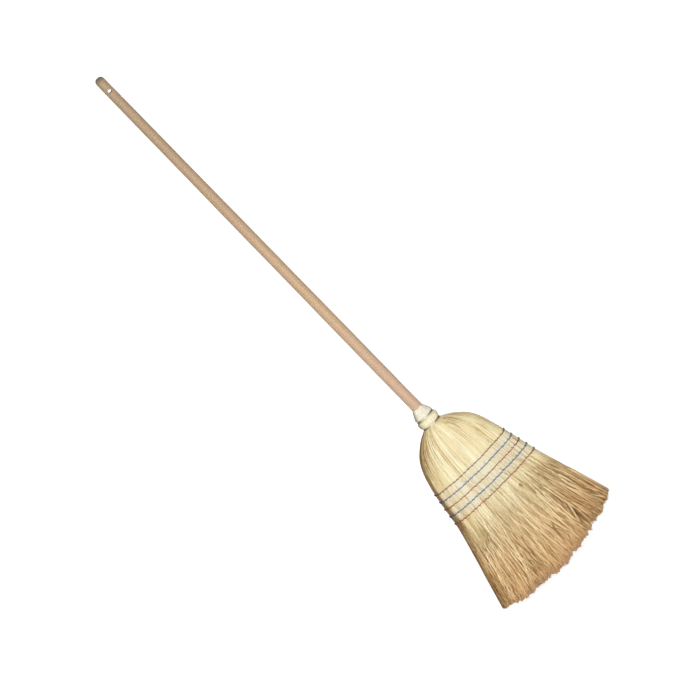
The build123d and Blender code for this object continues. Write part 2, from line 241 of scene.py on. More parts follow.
def wrapped(points: Array, places_across: Array, places_along: Array) -> Surface:
    """A grid that closes on itself round its columns, with its first and last rows capped.

    Rows run upwards and columns run counter-clockwise, so faces point outwards.

    Args:
        points: Grid of points, row x column x 3.
        places_across: Map place of each column edge, one more than the columns.
        places_along: Map place of each row.

    Returns:
        The closed surface.
    """
    rows, columns = points.shape[:2]
    number = np.arange(rows * columns).reshape(rows, columns)
    after = np.roll(number, -1, axis=1)
    quads = np.stack([number[:-1], after[:-1], after[1:], number[1:]], axis=-1)
    caps = np.concatenate([number[0, ::-1], number[-1]])
    quad_count = quads.size // 4
    starts = np.concatenate([np.arange(quad_count) * 4, 4 * quad_count + np.arange(2) * columns])
    left = np.broadcast_to(places_across[:-1], (rows - 1, columns))
    right = np.broadcast_to(places_across[1:], (rows - 1, columns))
    low = np.broadcast_to(places_along[:-1, None], left.shape)
    high = np.broadcast_to(places_along[1:, None], left.shape)
    quad_x = np.stack([left, right, right, left], -1)
    quad_y = np.stack([low, low, high, high], -1)
    quad_places = np.stack([quad_x, quad_y], -1)
    cap_y = np.repeat(places_along[[0, -1]], columns)
    cap_x = np.concatenate([places_across[:-1][::-1], places_across[:-1]])
    places = np.concatenate([quad_places.reshape(-1, 2), np.stack([cap_x, cap_y], -1)])
    return Surface(points.reshape(-1, 3), np.concatenate([quads.ravel(), caps]), starts, places)


def show(item: Piece) -> None:
    """Puts an object into the scene."""
    bpy.context.scene.collection.objects.link(item)


def placed(name: str, shape: Surface | Mesh, finish: Material, slot: str, *nodes: str) -> Piece:
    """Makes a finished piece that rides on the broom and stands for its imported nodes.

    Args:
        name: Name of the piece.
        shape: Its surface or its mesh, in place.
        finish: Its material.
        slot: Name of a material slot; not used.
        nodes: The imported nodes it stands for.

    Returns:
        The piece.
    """
    mesh = shape.mesh(name) if isinstance(shape, Surface) else shape
    piece = bpy.data.objects.new(name, mesh)
    mesh.materials.append(finish)
    show(piece)
    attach(piece, BODY)
    if nodes:
        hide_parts(*nodes)
    log.info("%s: %d faces, for %s", name, len(mesh.polygons), ", ".join(nodes) or "no node")
    return piece


def unmapped(mesh: Mesh) -> Mesh:
    """The same mesh without its map, for a finish on Object coordinates."""
    while mesh.uv_layers:
        mesh.uv_layers.remove(mesh.uv_layers[0])
    return mesh


class Wiring:
    """Adds nodes to a shader tree and links them. A value is a socket or a number."""

    def __init__(self, tree: Tree) -> None:
        """Keeps the tree that nodes are added to."""
        self.tree = tree

    def add(self, kind: str, **values: object) -> Node:
        """Adds a node and sets its properties.

        Args:
            kind: Blender's name of the node.
            values: Properties to set on it.

        Returns:
            The node.
        """
        node = self.tree.nodes.new(kind)
        for key, value in values.items():
            setattr(node, key, value)
        return node

    def link(self, source: Socket, target: Socket) -> None:
        """Links two sockets."""
        self.tree.links.new(source, target)

    def feed(self, target: Socket, value: object) -> None:
        """Links an input, or sets it.

        Args:
            target: The input.
            value: A socket to link it to, or what it is set to.
        """
        if isinstance(value, Socket):
            self.link(value, target)
        else:
            target.default_value = value

    def math(self, operation: str, first: object, second: object = 0.0, clamp: bool = False) -> Socket:
        """A sum of one or two values, each a socket or a number.

        Args:
            operation: Blender's name of the sum.
            first: First value.
            second: Second value, where the sum has one.
            clamp: Whether the result is held between 0 and 1.

        Returns:
            The socket with the result.
        """
        node = self.add("ShaderNodeMath", operation=operation, use_clamp=clamp)
        self.feed(node.inputs[0], first)
        self.feed(node.inputs[1], second)
        return node.outputs[0]

    def plus(self, first: object, second: object) -> Socket:
        """Two values added."""
        return self.math("ADD", first, second)

    def minus(self, first: object, second: object) -> Socket:
        """The first value less the second."""
        return self.math("SUBTRACT", first, second)

    def times(self, first: object, second: object) -> Socket:
        """Two values multiplied."""
        return self.math("MULTIPLY", first, second)

    def distance(self, value: Socket, middle: float) -> Socket:
        """How far a value lies from a middle, on either side."""
        return self.math("ABSOLUTE", self.minus(value, middle))

    def axes(self, place: Socket) -> Outputs:
        """The parts X, Y and Z of a place."""
        split = self.add("ShaderNodeSeparateXYZ")
        self.link(place, split.inputs[0])
        return split.outputs

    def ramp(self, value: Socket, stops: tuple) -> Socket:
        """Colours along a value.

        Args:
            value: Where to read the ramp.
            stops: Pairs of place and linear colour.

        Returns:
            The socket with the colour.
        """
        node = self.add("ShaderNodeValToRGB")
        elements = node.color_ramp.elements
        while len(elements) < len(stops):
            elements.new(1.0)
        for element, (place, colour) in zip(elements, stops):
            element.position = place
            element.color = (*colour, 1.0)
        self.link(value, node.inputs["Fac"])
        return node.outputs["Color"]

    def rise(self, value: Socket, low: float, high: float) -> Socket:
        """A smooth rise from 0 to 1.

        Args:
            value: What rises.
            low: Where it is 0.
            high: Where it is 1.

        Returns:
            The socket with the rise.
        """
        node = self.add("ShaderNodeMapRange", interpolation_type="SMOOTHSTEP")
        self.link(value, node.inputs["Value"])
        node.inputs["From Min"].default_value = low
        node.inputs["From Max"].default_value = high
        return node.outputs["Result"]

    def blend(self, share: object, first: object, second: object) -> Socket:
        """Two colours mixed by a share.

        Args:
            share: Share of the second, a socket or a number.
            first: First colour, a socket or linear numbers.
            second: Second colour, a socket or linear numbers.

        Returns:
            The socket with the colour.
        """
        node = self.add("ShaderNodeMix", data_type="RGBA")
        self.feed(node.inputs["Factor"], share)
        for index, colour in zip(MIXED_COLOURS, (first, second)):
            plain = isinstance(colour, tuple)
            self.feed(node.inputs[index], (*colour, 1.0) if plain else colour)
        return node.outputs[MIXED_RESULT]

    def layered(self, colour: Socket, *layers: tuple) -> Socket:
        """A colour with others laid over it in turn, each a pair of share and linear colour."""
        for share, tint in layers:
            colour = self.blend(share, colour, tint)
        return colour

    def pattern(self, effect: Tree, place: Socket, scales: tuple, lie: Lie) -> Socket:
        """A shared effect, laid along the fibres.

        Args:
            effect: The effect's node group.
            place: Where to read it.
            scales: How fine it is across the fibres and along them.
            lie: Axis of the fibres.

        Returns:
            The socket with its value.
        """
        node = self.add("ShaderNodeGroup", node_tree=effect)
        for name, value in zip(("Place", "Across", "Along", "Lie"), (place, *scales, lie.value)):
            self.feed(node.inputs[name], value)
        return node.outputs["Value"]


class Effects:
    """Shader effects that several finishes share, each built once as a node group."""

    def __init__(self) -> None:
        """Builds the long streaks of the fibres, and sparse small spots that are 0 elsewhere."""
        self.grain = self._noise("fibre_grain", 5.0, 0.62, (0.28, 0.72))
        self.specks = self._noise("dry_specks", 2.0, 0.50, (0.60, 0.72))

    @staticmethod
    def _noise(name: str, detail: float, roughness: float, span: tuple) -> Tree:
        """Noise drawn out along the fibres, as a group with place, scales and lie in and one value out.

        The place is scaled by Along on the axis of the lie, and by Across on the others.

        Args:
            name: Name of the group.
            detail: How many finer layers the noise has.
            roughness: How strong the finer layers are.
            span: Noise values that become 0 and 1.

        Returns:
            The group.
        """
        tree = bpy.data.node_groups.new(name, "ShaderNodeTree")
        for word, kind in (("Place", "Vector"), ("Across", "Float"), ("Along", "Float"), ("Lie", "Vector")):
            tree.interface.new_socket(word, in_out="INPUT", socket_type=f"NodeSocket{kind}")
        tree.interface.new_socket("Value", in_out="OUTPUT", socket_type="NodeSocketFloat")
        wiring = Wiring(tree)
        inputs = wiring.add("NodeGroupInput").outputs
        longer = wiring.add("ShaderNodeVectorMath", operation="SCALE")
        wiring.link(inputs["Lie"], longer.inputs[0])
        wiring.link(wiring.minus(inputs["Along"], inputs["Across"]), longer.inputs["Scale"])
        even = wiring.add("ShaderNodeCombineXYZ")
        for socket in even.inputs:
            wiring.link(inputs["Across"], socket)
        scale = wiring.add("ShaderNodeVectorMath", operation="ADD")
        wiring.link(longer.outputs[0], scale.inputs[0])
        wiring.link(even.outputs[0], scale.inputs[1])
        place = wiring.add("ShaderNodeVectorMath", operation="MULTIPLY")
        wiring.link(inputs["Place"], place.inputs[0])
        wiring.link(scale.outputs[0], place.inputs[1])
        noise = wiring.add("ShaderNodeTexNoise")
        wiring.link(place.outputs[0], noise.inputs["Vector"])
        for word, value in (("Scale", 1.0), ("Detail", detail), ("Roughness", roughness)):
            noise.inputs[word].default_value = value
        wiring.link(wiring.rise(noise.outputs["Fac"], *span), wiring.add("NodeGroupOutput").inputs["Value"])
        return tree


def begin_material(name: str) -> tuple[Material, Wiring, Node]:
    """Starts a material.

    Args:
        name: Name of the finish.

    Returns:
        The material, its wiring and its surface shader.
    """
    material = bpy.data.materials.new(name)
    material.use_nodes = True
    return material, Wiring(material.node_tree), material.node_tree.nodes["Principled BSDF"]


@dataclass(frozen=True)
class Sheen:
    """How a finish takes light: its roughness and fine relief, which follow one texture, and its gloss."""

    least_rough: float
    rougher: float
    gloss: float
    relief: float
    relief_strength: float

    def apply(self, wiring: Wiring, shader: Node, colour: Socket, texture: Socket) -> None:
        """Links a finish to its surface shader.

        Args:
            wiring: The material's wiring.
            shader: The surface shader.
            colour: The finished colour.
            texture: The texture that roughness and relief follow.
        """
        wiring.link(colour, shader.inputs["Base Color"])
        rough = wiring.plus(self.least_rough, wiring.times(texture, self.rougher))
        wiring.link(rough, shader.inputs["Roughness"])
        shader.inputs["Specular IOR Level"].default_value = self.gloss
        bump = wiring.add("ShaderNodeBump")
        bump.inputs["Strength"].default_value = self.relief_strength
        bump.inputs["Distance"].default_value = self.relief
        wiring.link(texture, bump.inputs["Height"])
        wiring.link(bump.outputs["Normal"], shader.inputs["Normal"])


@dataclass(frozen=True)
class BareWood:
    """Turned wood without varnish: straight grain, rosy at the foot, handled grey near the top end.

    Scales are across and along the grain. Runs are depths below the top, where a tint begins and is full.
    """

    top_level: float
    grain_dark: tuple = (0.46, 0.305, 0.185)
    grain_pale: tuple = (0.585, 0.402, 0.248)
    rosy: tuple = (0.6, 0.375, 0.255)
    olive: tuple = (0.49, 0.378, 0.19)
    blush: tuple = (0.6, 0.4, 0.3)
    handled: tuple = (0.31, 0.217, 0.132)
    end_grain: tuple = (0.14, 0.125, 0.09)
    fine_scales: tuple = (900.0, 7.0)
    broad_scales: tuple = (150.0, 7.0)
    stain_scales: tuple = (70.0, 9.0)
    worn_scales: tuple = (120.0, 70.0)
    pore_scales: tuple = (2100.0, 60.0)
    rosy_share: float = 0.55
    olive_share: float = 0.4
    blush_share: float = 0.55
    blush_run: tuple = (0.66, 0.94)
    handled_share: float = 0.58
    handled_run: tuple = (0.75, 0.02)
    grime_shares: tuple = (0.45, 0.5)
    grime_run: tuple = (0.016, 0.003)
    pore_share: float = 0.35
    sheen: Sheen = Sheen(0.46, 0.16, 0.35, 0.0002, 0.35)

    def material(self, effects: Effects) -> Material:
        """Builds the finish on Object coordinates.

        Args:
            effects: The shared node groups.

        Returns:
            The material.
        """
        material, wiring, shader = begin_material("bare_wood")
        place = wiring.add("ShaderNodeTexCoord").outputs["Object"]
        height = wiring.axes(place)["Z"]
        fine, broad, stain, worn = (
            wiring.pattern(effects.grain, place, scales, Lie.UP)
            for scales in (self.fine_scales, self.broad_scales, self.stain_scales, self.worn_scales)
        )
        pores = wiring.pattern(effects.specks, place, self.pore_scales, Lie.UP)
        foot, upper, end = (
            wiring.rise(height, self.top_level - begins, self.top_level - full)
            for begins, full in (self.blush_run, self.handled_run, self.grime_run)
        )
        even, patchy = self.grime_shares
        colour = wiring.layered(
            wiring.ramp(fine, ((0.0, self.grain_dark), (1.0, self.grain_pale))),
            (wiring.times(broad, self.rosy_share), self.rosy),
            (wiring.times(stain, self.olive_share), self.olive),
            (wiring.times(foot, self.blush_share), self.blush),
            (wiring.times(upper, self.handled_share), self.handled),
            (wiring.times(end, wiring.plus(even, wiring.times(worn, patchy))), self.end_grain),
            (wiring.times(pores, self.pore_share), self.handled),
        )
        self.sheen.apply(wiring, shader, colour, fine)
        return material


@dataclass(frozen=True)
class PaleStalk:
    """Pared stalk ends: white pith above, yellower rind below, small brown marks, painted shade on the left
    flank.

    Scales are across and along the stalks. Runs are on the collar's map, which goes round and up.
    """

    rind: tuple = (0.8, 0.73, 0.43)
    cream: tuple = (0.86, 0.81, 0.61)
    pith: tuple = (0.85, 0.8, 0.67)
    stain: tuple = (0.3, 0.22, 0.11)
    # Colour of the painted shade on the collar's left flank.
    painted_shade: tuple = (0.3, 0.28, 0.15)
    fine_scales: tuple = (95.0, 3.0)
    broad_scales: tuple = (22.0, 2.0)
    mark_scales: tuple = (60.0, 22.0)
    tier_run: tuple = (0.42, 0.58)
    rind_share: float = 0.12
    mark_share: float = 0.32
    flank_shade_share: float = 0.85
    flank_shade_run: tuple = (0.165, 0.05)
    left_flank: float = 0.5
    sheen: Sheen = Sheen(0.55, 0.25, 0.3, 0.0002, 0.25)

    def material(self, effects: Effects) -> Material:
        """Builds the finish on the collar's own map.

        Args:
            effects: The shared node groups.

        Returns:
            The material.
        """
        material, wiring, shader = begin_material("pale_stalk")
        place = wiring.add("ShaderNodeUVMap", uv_map=MAP_NAME).outputs["UV"]
        axes = wiring.axes(place)
        fine = wiring.pattern(effects.grain, place, self.fine_scales, Lie.ALONG)
        broad = wiring.pattern(effects.grain, place, self.broad_scales, Lie.ALONG)
        marks = wiring.pattern(effects.specks, place, self.mark_scales, Lie.ALONG)
        lower = wiring.ramp(broad, ((0.0, self.rind), (0.75, self.cream), (1.0, self.pith)))
        upper = wiring.ramp(broad, ((0.0, self.cream), (0.5, self.pith), (1.0, self.pith)))
        # Painted shade: the stalks are drawn darker towards the collar's left flank.
        flank_shade = wiring.rise(wiring.distance(axes["X"], self.left_flank), *self.flank_shade_run)
        colour = wiring.layered(
            wiring.blend(wiring.rise(axes["Y"], *self.tier_run), lower, upper),
            (wiring.times(fine, self.rind_share), self.rind),
            (wiring.times(marks, self.mark_share), self.stain),
            (wiring.times(flank_shade, self.flank_shade_share), self.painted_shade),
        )
        self.sheen.apply(wiring, shader, colour, fine)
        return material


@dataclass(frozen=True)
class DryStraw:
    """Sorghum straw. On its map, across is the straw's own tone and along is the drop from the neck.

    Bound and loose are colours by tone, above the seams and in the sweep. Runs are along the map.
    """

    bound: tuple = (
        (0.0, (0.19, 0.110, 0.042)),
        (0.3, (0.52, 0.36, 0.155)),
        (0.6, (0.80, 0.68, 0.395)),
        (1.0, (0.91, 0.86, 0.63)),
    )
    loose: tuple = (
        (0.0, (0.18, 0.095, 0.035)),
        (0.3, (0.435, 0.246, 0.093)),
        (0.6, (0.66, 0.406, 0.176)),
        (1.0, (0.93, 0.735, 0.425)),
    )
    speck: tuple = (0.25, 0.13, 0.05)
    pressed: tuple = (0.69, 0.665, 0.55)
    tip_glow: tuple = (0.84, 0.5, 0.235)
    streak_scales: tuple = (240.0, 7.0)
    joint_scales: tuple = (330.0, 38.0)
    mottle_scales: tuple = (400.0, 62.0)
    streak_depth: float = 0.26
    mottle_depth: float = 0.34
    mottle_run: tuple = (0.46, 0.62)
    loosening_run: tuple = (0.42, 0.82)
    sewn_begin: tuple = (0.245, 0.29)
    sewn_end: tuple = (0.475, 0.43)
    pressed_share: float = 0.6
    tip_run: tuple = (0.78, 0.97)
    tip_share: float = 0.62
    joint_share: float = 0.3
    sheen: Sheen = Sheen(0.50, 0.22, 0.3, 0.0002, 0.25)

    def material(self, effects: Effects) -> Material:
        """Builds the finish on the straw's own map.

        Args:
            effects: The shared node groups.

        Returns:
            The material.
        """
        material, wiring, shader = begin_material("dry_straw")
        place = wiring.add("ShaderNodeUVMap", uv_map=MAP_NAME).outputs["UV"]
        axes = wiring.axes(place)
        run = axes["Y"]
        streak = wiring.pattern(effects.grain, place, self.streak_scales, Lie.ALONG)
        joint = wiring.pattern(effects.specks, place, self.joint_scales, Lie.ALONG)
        mottle = wiring.pattern(effects.grain, place, self.mottle_scales, Lie.ALONG)
        mottled = wiring.times(wiring.rise(run, *self.mottle_run), self.mottle_depth)
        uneven = wiring.times(wiring.minus(mottle, 0.5), mottled)
        shift = wiring.plus(wiring.times(wiring.minus(streak, 0.5), self.streak_depth), uneven)
        tone = wiring.math("ADD", axes["X"], shift, clamp=True)
        bound, loose = wiring.ramp(tone, self.bound), wiring.ramp(tone, self.loose)
        sewn = wiring.math("MINIMUM", wiring.rise(run, *self.sewn_begin), wiring.rise(run, *self.sewn_end))
        ripe = wiring.rise(run, *self.tip_run)
        colour = wiring.layered(
            wiring.blend(wiring.rise(run, *self.loosening_run), bound, loose),
            (wiring.times(sewn, wiring.times(tone, self.pressed_share)), self.pressed),
            (wiring.times(ripe, wiring.times(tone, self.tip_share)), self.tip_glow),
            (wiring.times(joint, self.joint_share), self.speck),
        )
        self.sheen.apply(wiring, shader, colour, streak)
        return material


@dataclass(frozen=True)
class DullWire:
    """Drawn steel wire, dulled, with a little brown in it.

    Painted shade darkens it towards its left and right sides, so it is bright only along its front and
    back.
    """

    steel: tuple = (0.74, 0.69, 0.62)
    # Colour of random tarnish, and of the painted shade at the wire's sides.
    tarnish_and_painted_shade: tuple = (0.17, 0.14, 0.085)
    cloud_scales: tuple = (420.0, 420.0)
    painted_light_middle: float = -0.004
    painted_shade_run: tuple = (0.006, 0.014)
    clean_shares: tuple = (0.6, 0.4)
    sheen: Sheen = Sheen(0.30, 0.2, 0.5, 0.0001, 0.2)

    def material(self, effects: Effects) -> Material:
        """Builds the finish on Object coordinates.

        Args:
            effects: The shared node groups.

        Returns:
            The material.
        """
        material, wiring, shader = begin_material("dull_wire")
        place = wiring.add("ShaderNodeTexCoord").outputs["Object"]
        cloud = wiring.pattern(effects.grain, place, self.cloud_scales, Lie.UP)
        # Painted shade: the wire is drawn bright near its front and back, and darker towards its left and
        # right sides.
        aside = wiring.distance(wiring.axes(place)["X"], self.painted_light_middle)
        bright = wiring.minus(1.0, wiring.rise(aside, *self.painted_shade_run))
        even, patchy = self.clean_shares
        clean_and_lit = wiring.times(bright, wiring.plus(even, wiring.times(cloud, patchy)))
        colour = wiring.ramp(clean_and_lit, ((0.0, self.tarnish_and_painted_shade), (1.0, self.steel)))
        self.sheen.apply(wiring, shader, colour, cloud)
        shader.inputs["Metallic"].default_value = 1.0
        return material


@dataclass(frozen=True)
class TwistedTwine:
    """Two-ply cotton twine in one dye.

    It is faded in the middle of each face, which its map puts at 1/4 and 3/4. Painted shade darkens it at
    both edges of the head, over a longer run at the knots, where the map begins and ends. Runs are
    distances along the map from its middle, which lies on the right edge.
    """

    dye: Dye
    faded_to: tuple = (0.3, 0.22, 0.13)
    # Colour of the painted shade at both edges of the head.
    painted_shade: tuple = (0.075, 0.05, 0.035)
    fuzz_scales: tuple = (55.0, 260.0)
    patch_scales: tuple = (3.0, 40.0)
    strand_run: tuple = (0.2, 0.85)
    right_edge: float = 0.5
    right_end_shade: float = 0.6
    right_run: tuple = (0.085, 0.02)
    knot_end_shade: float = 0.62
    knot_run: tuple = (0.4, 0.485)
    sheen: Sheen = Sheen(0.72, 0.2, 0.2, 0.0002, 0.4)

    def material(self, effects: Effects) -> Material:
        """Builds the finish on the twine's own map, which runs round and along.

        Args:
            effects: The shared node groups.

        Returns:
            The material.
        """
        dark, pale, fading = self.dye.value
        material, wiring, shader = begin_material(f"{self.dye.name.lower()}_twine")
        place = wiring.add("ShaderNodeUVMap", uv_map=MAP_NAME).outputs["UV"]
        along = wiring.axes(place)["Y"]
        fuzz = wiring.pattern(effects.grain, place, self.fuzz_scales, Lie.ALONG)
        patch = wiring.pattern(effects.grain, place, self.patch_scales, Lie.ALONG)
        value = wiring.times(wiring.plus(fuzz, patch), 0.5)
        first, last = self.strand_run
        wave = wiring.math("COSINE", wiring.times(along, 4.0 * math.pi))
        # Painted shade: darker near the right edge of the head, and over a longer run near the knots on the
        # left edge.
        from_right = wiring.distance(along, self.right_edge)
        at_right = wiring.times(wiring.rise(from_right, *self.right_run), self.right_end_shade)
        at_knots = wiring.times(wiring.rise(from_right, *self.knot_run), self.knot_end_shade)
        colour = wiring.layered(
            wiring.ramp(value, ((first, dark), (last, pale))),
            (wiring.times(wiring.minus(1.0, wave), 0.5 * fading), self.faded_to),
            (wiring.plus(at_right, at_knots), self.painted_shade),
        )
        self.sheen.apply(wiring, shader, colour, fuzz)
        return material


@dataclass(frozen=True)
class HeadForm:
    """Outside of the straw head: a four-arc oval that changes with the drop below the neck.

    Each rounded corner of the trim is a place and a steepness. Each bell of its uneven cut is a place, a
    half width and a height.
    """

    foot_level: float
    neck_height: float = 0.4
    neck_radius: float = 0.023
    shoulder_half_width: float = 0.078
    shoulder_run: float = 0.025
    flare: float = 0.19
    shoulder_half_thickness: float = 0.038
    thickness_run: float = 0.018
    thinning: float = 0.055
    bound_drop: float = 0.193
    spread: float = 0.277
    thickening: float = 0.045
    lean: float = 0.004
    neck_aside: float = -0.0012
    skew: float = 0.004
    skew_drops: tuple = (0.09, 0.21)
    row_drops: tuple = (0.109, 0.127, 0.145, 0.163, 0.181)
    row_sag: float = 0.0042
    sag_power: float = 0.8
    pinch: float = 0.0032
    fullness: float = 0.0007
    swell_above: float = 0.024
    swell_rise: float = 0.02
    swell_fall: float = 0.032
    least_thickness: float = 0.0006
    turn_step: float = 0.002
    trim_radius: float = 0.46
    trim_low_point: float = -0.027
    corners: tuple = ((-0.152, 28.0), (0.15, 48.0))
    uneven_cut: tuple = (
        (-0.143, 0.012, 0.0020),
        (-0.110, 0.016, -0.0026),
        (-0.044, 0.010, 0.0046),
        (0.0, 0.009, -0.0028),
        (0.023, 0.011, 0.0050),
        (0.091, 0.009, 0.0021),
    )

    def half_sizes(self, drop: Array) -> tuple[Array, Array]:
        """Half width and half thickness: a fast flare that fades, a steady one, and a fan below the seams.

        Args:
            drop: Drop below the neck.

        Returns:
            The two half sizes.
        """
        sewn = np.clip(drop, 0.0, self.bound_drop)
        below = np.maximum(drop - self.bound_drop, 0.0)
        wide, thick = self.shoulder_half_width, self.shoulder_half_thickness
        wide = wide - (wide - self.neck_radius) * np.exp(-sewn / self.shoulder_run)
        thick = thick - (thick - self.neck_radius) * np.exp(-sewn / self.thickness_run)
        half_width = wide + self.flare * sewn + self.spread * below
        half_thickness = thick - self.thinning * sewn + self.thickening * below
        return half_width, half_thickness

    def sag(self, turn: Array) -> Array:
        """How much lower the rows lie here than at the two ends of the head."""
        return self.row_sag * np.abs(np.sin(FULL_TURN * turn)) ** self.sag_power

    def swell(self, turn: Array, drop: Array) -> Array:
        """How far the straw stands out between the rows, where the twine doesn't press it in.

        Args:
            turn: Share of the girth.
            drop: Drop below the neck.

        Returns:
            Heights of the swell.
        """
        drop = drop - self.sag(turn)
        pressed = np.zeros_like(drop)
        for row in self.row_drops:
            pressed = np.maximum(pressed, np.exp(-(((drop - row) / self.pinch) ** 2)))
        among = eased((drop - self.row_drops[0] + self.swell_above) / self.swell_rise)
        among = among * (1.0 - eased((drop - self.bound_drop) / self.swell_fall))
        return self.fullness * among * (1.0 - pressed)

    def girth(self, drop: Array) -> Array:
        """Length once round the head, near enough: that of an ellipse by its two half sizes."""
        wide, thick = self.half_sizes(drop)
        return math.pi * (3.0 * (wide + thick) - np.sqrt((3.0 * wide + thick) * (wide + 3.0 * thick)))

    def point(self, turn: Array, drop: Array, inset: Array) -> Array:
        """A place on the oval at a drop, drawn in by an inset.

        A quarter of the oval is a round end arc and a wide face arc that meet in line; the turn is the
        share of the girth, from the right end and counter-clockwise as seen from above.

        Args:
            turn: Share of the girth.
            drop: Drop below the neck.
            inset: How far inside the oval.

        Returns:
            Points in the last axis.
        """
        turn, drop, inset = np.broadcast_arrays(turn, drop, inset)
        wide, thick = self.half_sizes(drop)
        thick = np.maximum(thick - inset, self.least_thickness)
        wide = np.maximum(wide - inset, thick + 1e-6)
        quarter = np.floor(turn * 4.0)
        share = turn * 4.0 - quarter
        quarter = quarter.astype(int) % 4
        share = np.where(quarter % 2 == 1, 1.0 - share, share)
        bend = math.pi / 2.0 - math.pi / 4.0 * thick / wide
        reach = (wide - thick) / (np.sin(bend) + np.cos(bend) - 1.0)
        end_radius = wide - reach * np.cos(bend)
        face_radius = thick + reach * np.sin(bend)
        end_run = end_radius * bend
        run = share * (end_run + face_radius * (math.pi / 2.0 - bend))
        end_angle = run / end_radius
        face_angle = bend + (run - end_run) / face_radius
        on_end = run < end_run
        end_x = wide - end_radius * (1.0 - np.cos(end_angle))
        end_y = end_radius * np.sin(end_angle)
        face_x = face_radius * np.cos(face_angle)
        face_y = thick - face_radius * (1.0 - np.sin(face_angle))
        x = np.where(on_end, end_x, face_x)
        y = np.where(on_end, end_y, face_y)
        x = np.where((quarter == 1) | (quarter == 2), -x, x)
        y = np.where(quarter >= 2, -y, y)
        fan = np.maximum(drop - self.bound_drop, 0.0) / (self.neck_height - self.bound_drop)
        x = x + self.lean * fan + self.aside(drop)
        return np.stack([x, y, self.foot_level + self.neck_height - drop], axis=-1)

    def aside(self, drop: Array) -> Array:
        """How far the head's middle stands to the right of the stick: it was sewn a little askew."""
        first, last = self.skew_drops
        return self.neck_aside + self.skew * eased((drop - first) / (last - first))

    def across(self, turn: Array, drop: Array, inset: Array) -> Array:
        """Direction round the girth at the same place."""
        ahead = self.point(turn + self.turn_step, drop, inset)
        return unit(ahead - self.point(turn - self.turn_step, drop, inset))

    def line(self, turn: Array, drop: Array, inset: Array) -> tuple[Array, Array]:
        """A line over the head: its points, and the direction round the girth at each."""
        return self.point(turn, drop, inset), self.across(turn, drop, inset)

    def trim_height(self, x: Array) -> Array:
        """Height of the trimmed edge: a wide arc, lowest left of the stick, rounded at both corners.

        The cut is uneven, so soft bells are added to the arc.

        Args:
            x: Places across the head.

        Returns:
            Heights above the lowest tips.
        """
        height = self.trim_radius - np.sqrt(self.trim_radius**2 - (x - self.trim_low_point) ** 2)
        for place, steepness in self.corners:
            height = height + steepness * np.maximum((x - place) * math.copysign(1.0, place), 0.0) ** 2
        for place, half_width, rise in self.uneven_cut:
            height = height + rise * np.exp(-(((x - place) / half_width) ** 2))
        return height


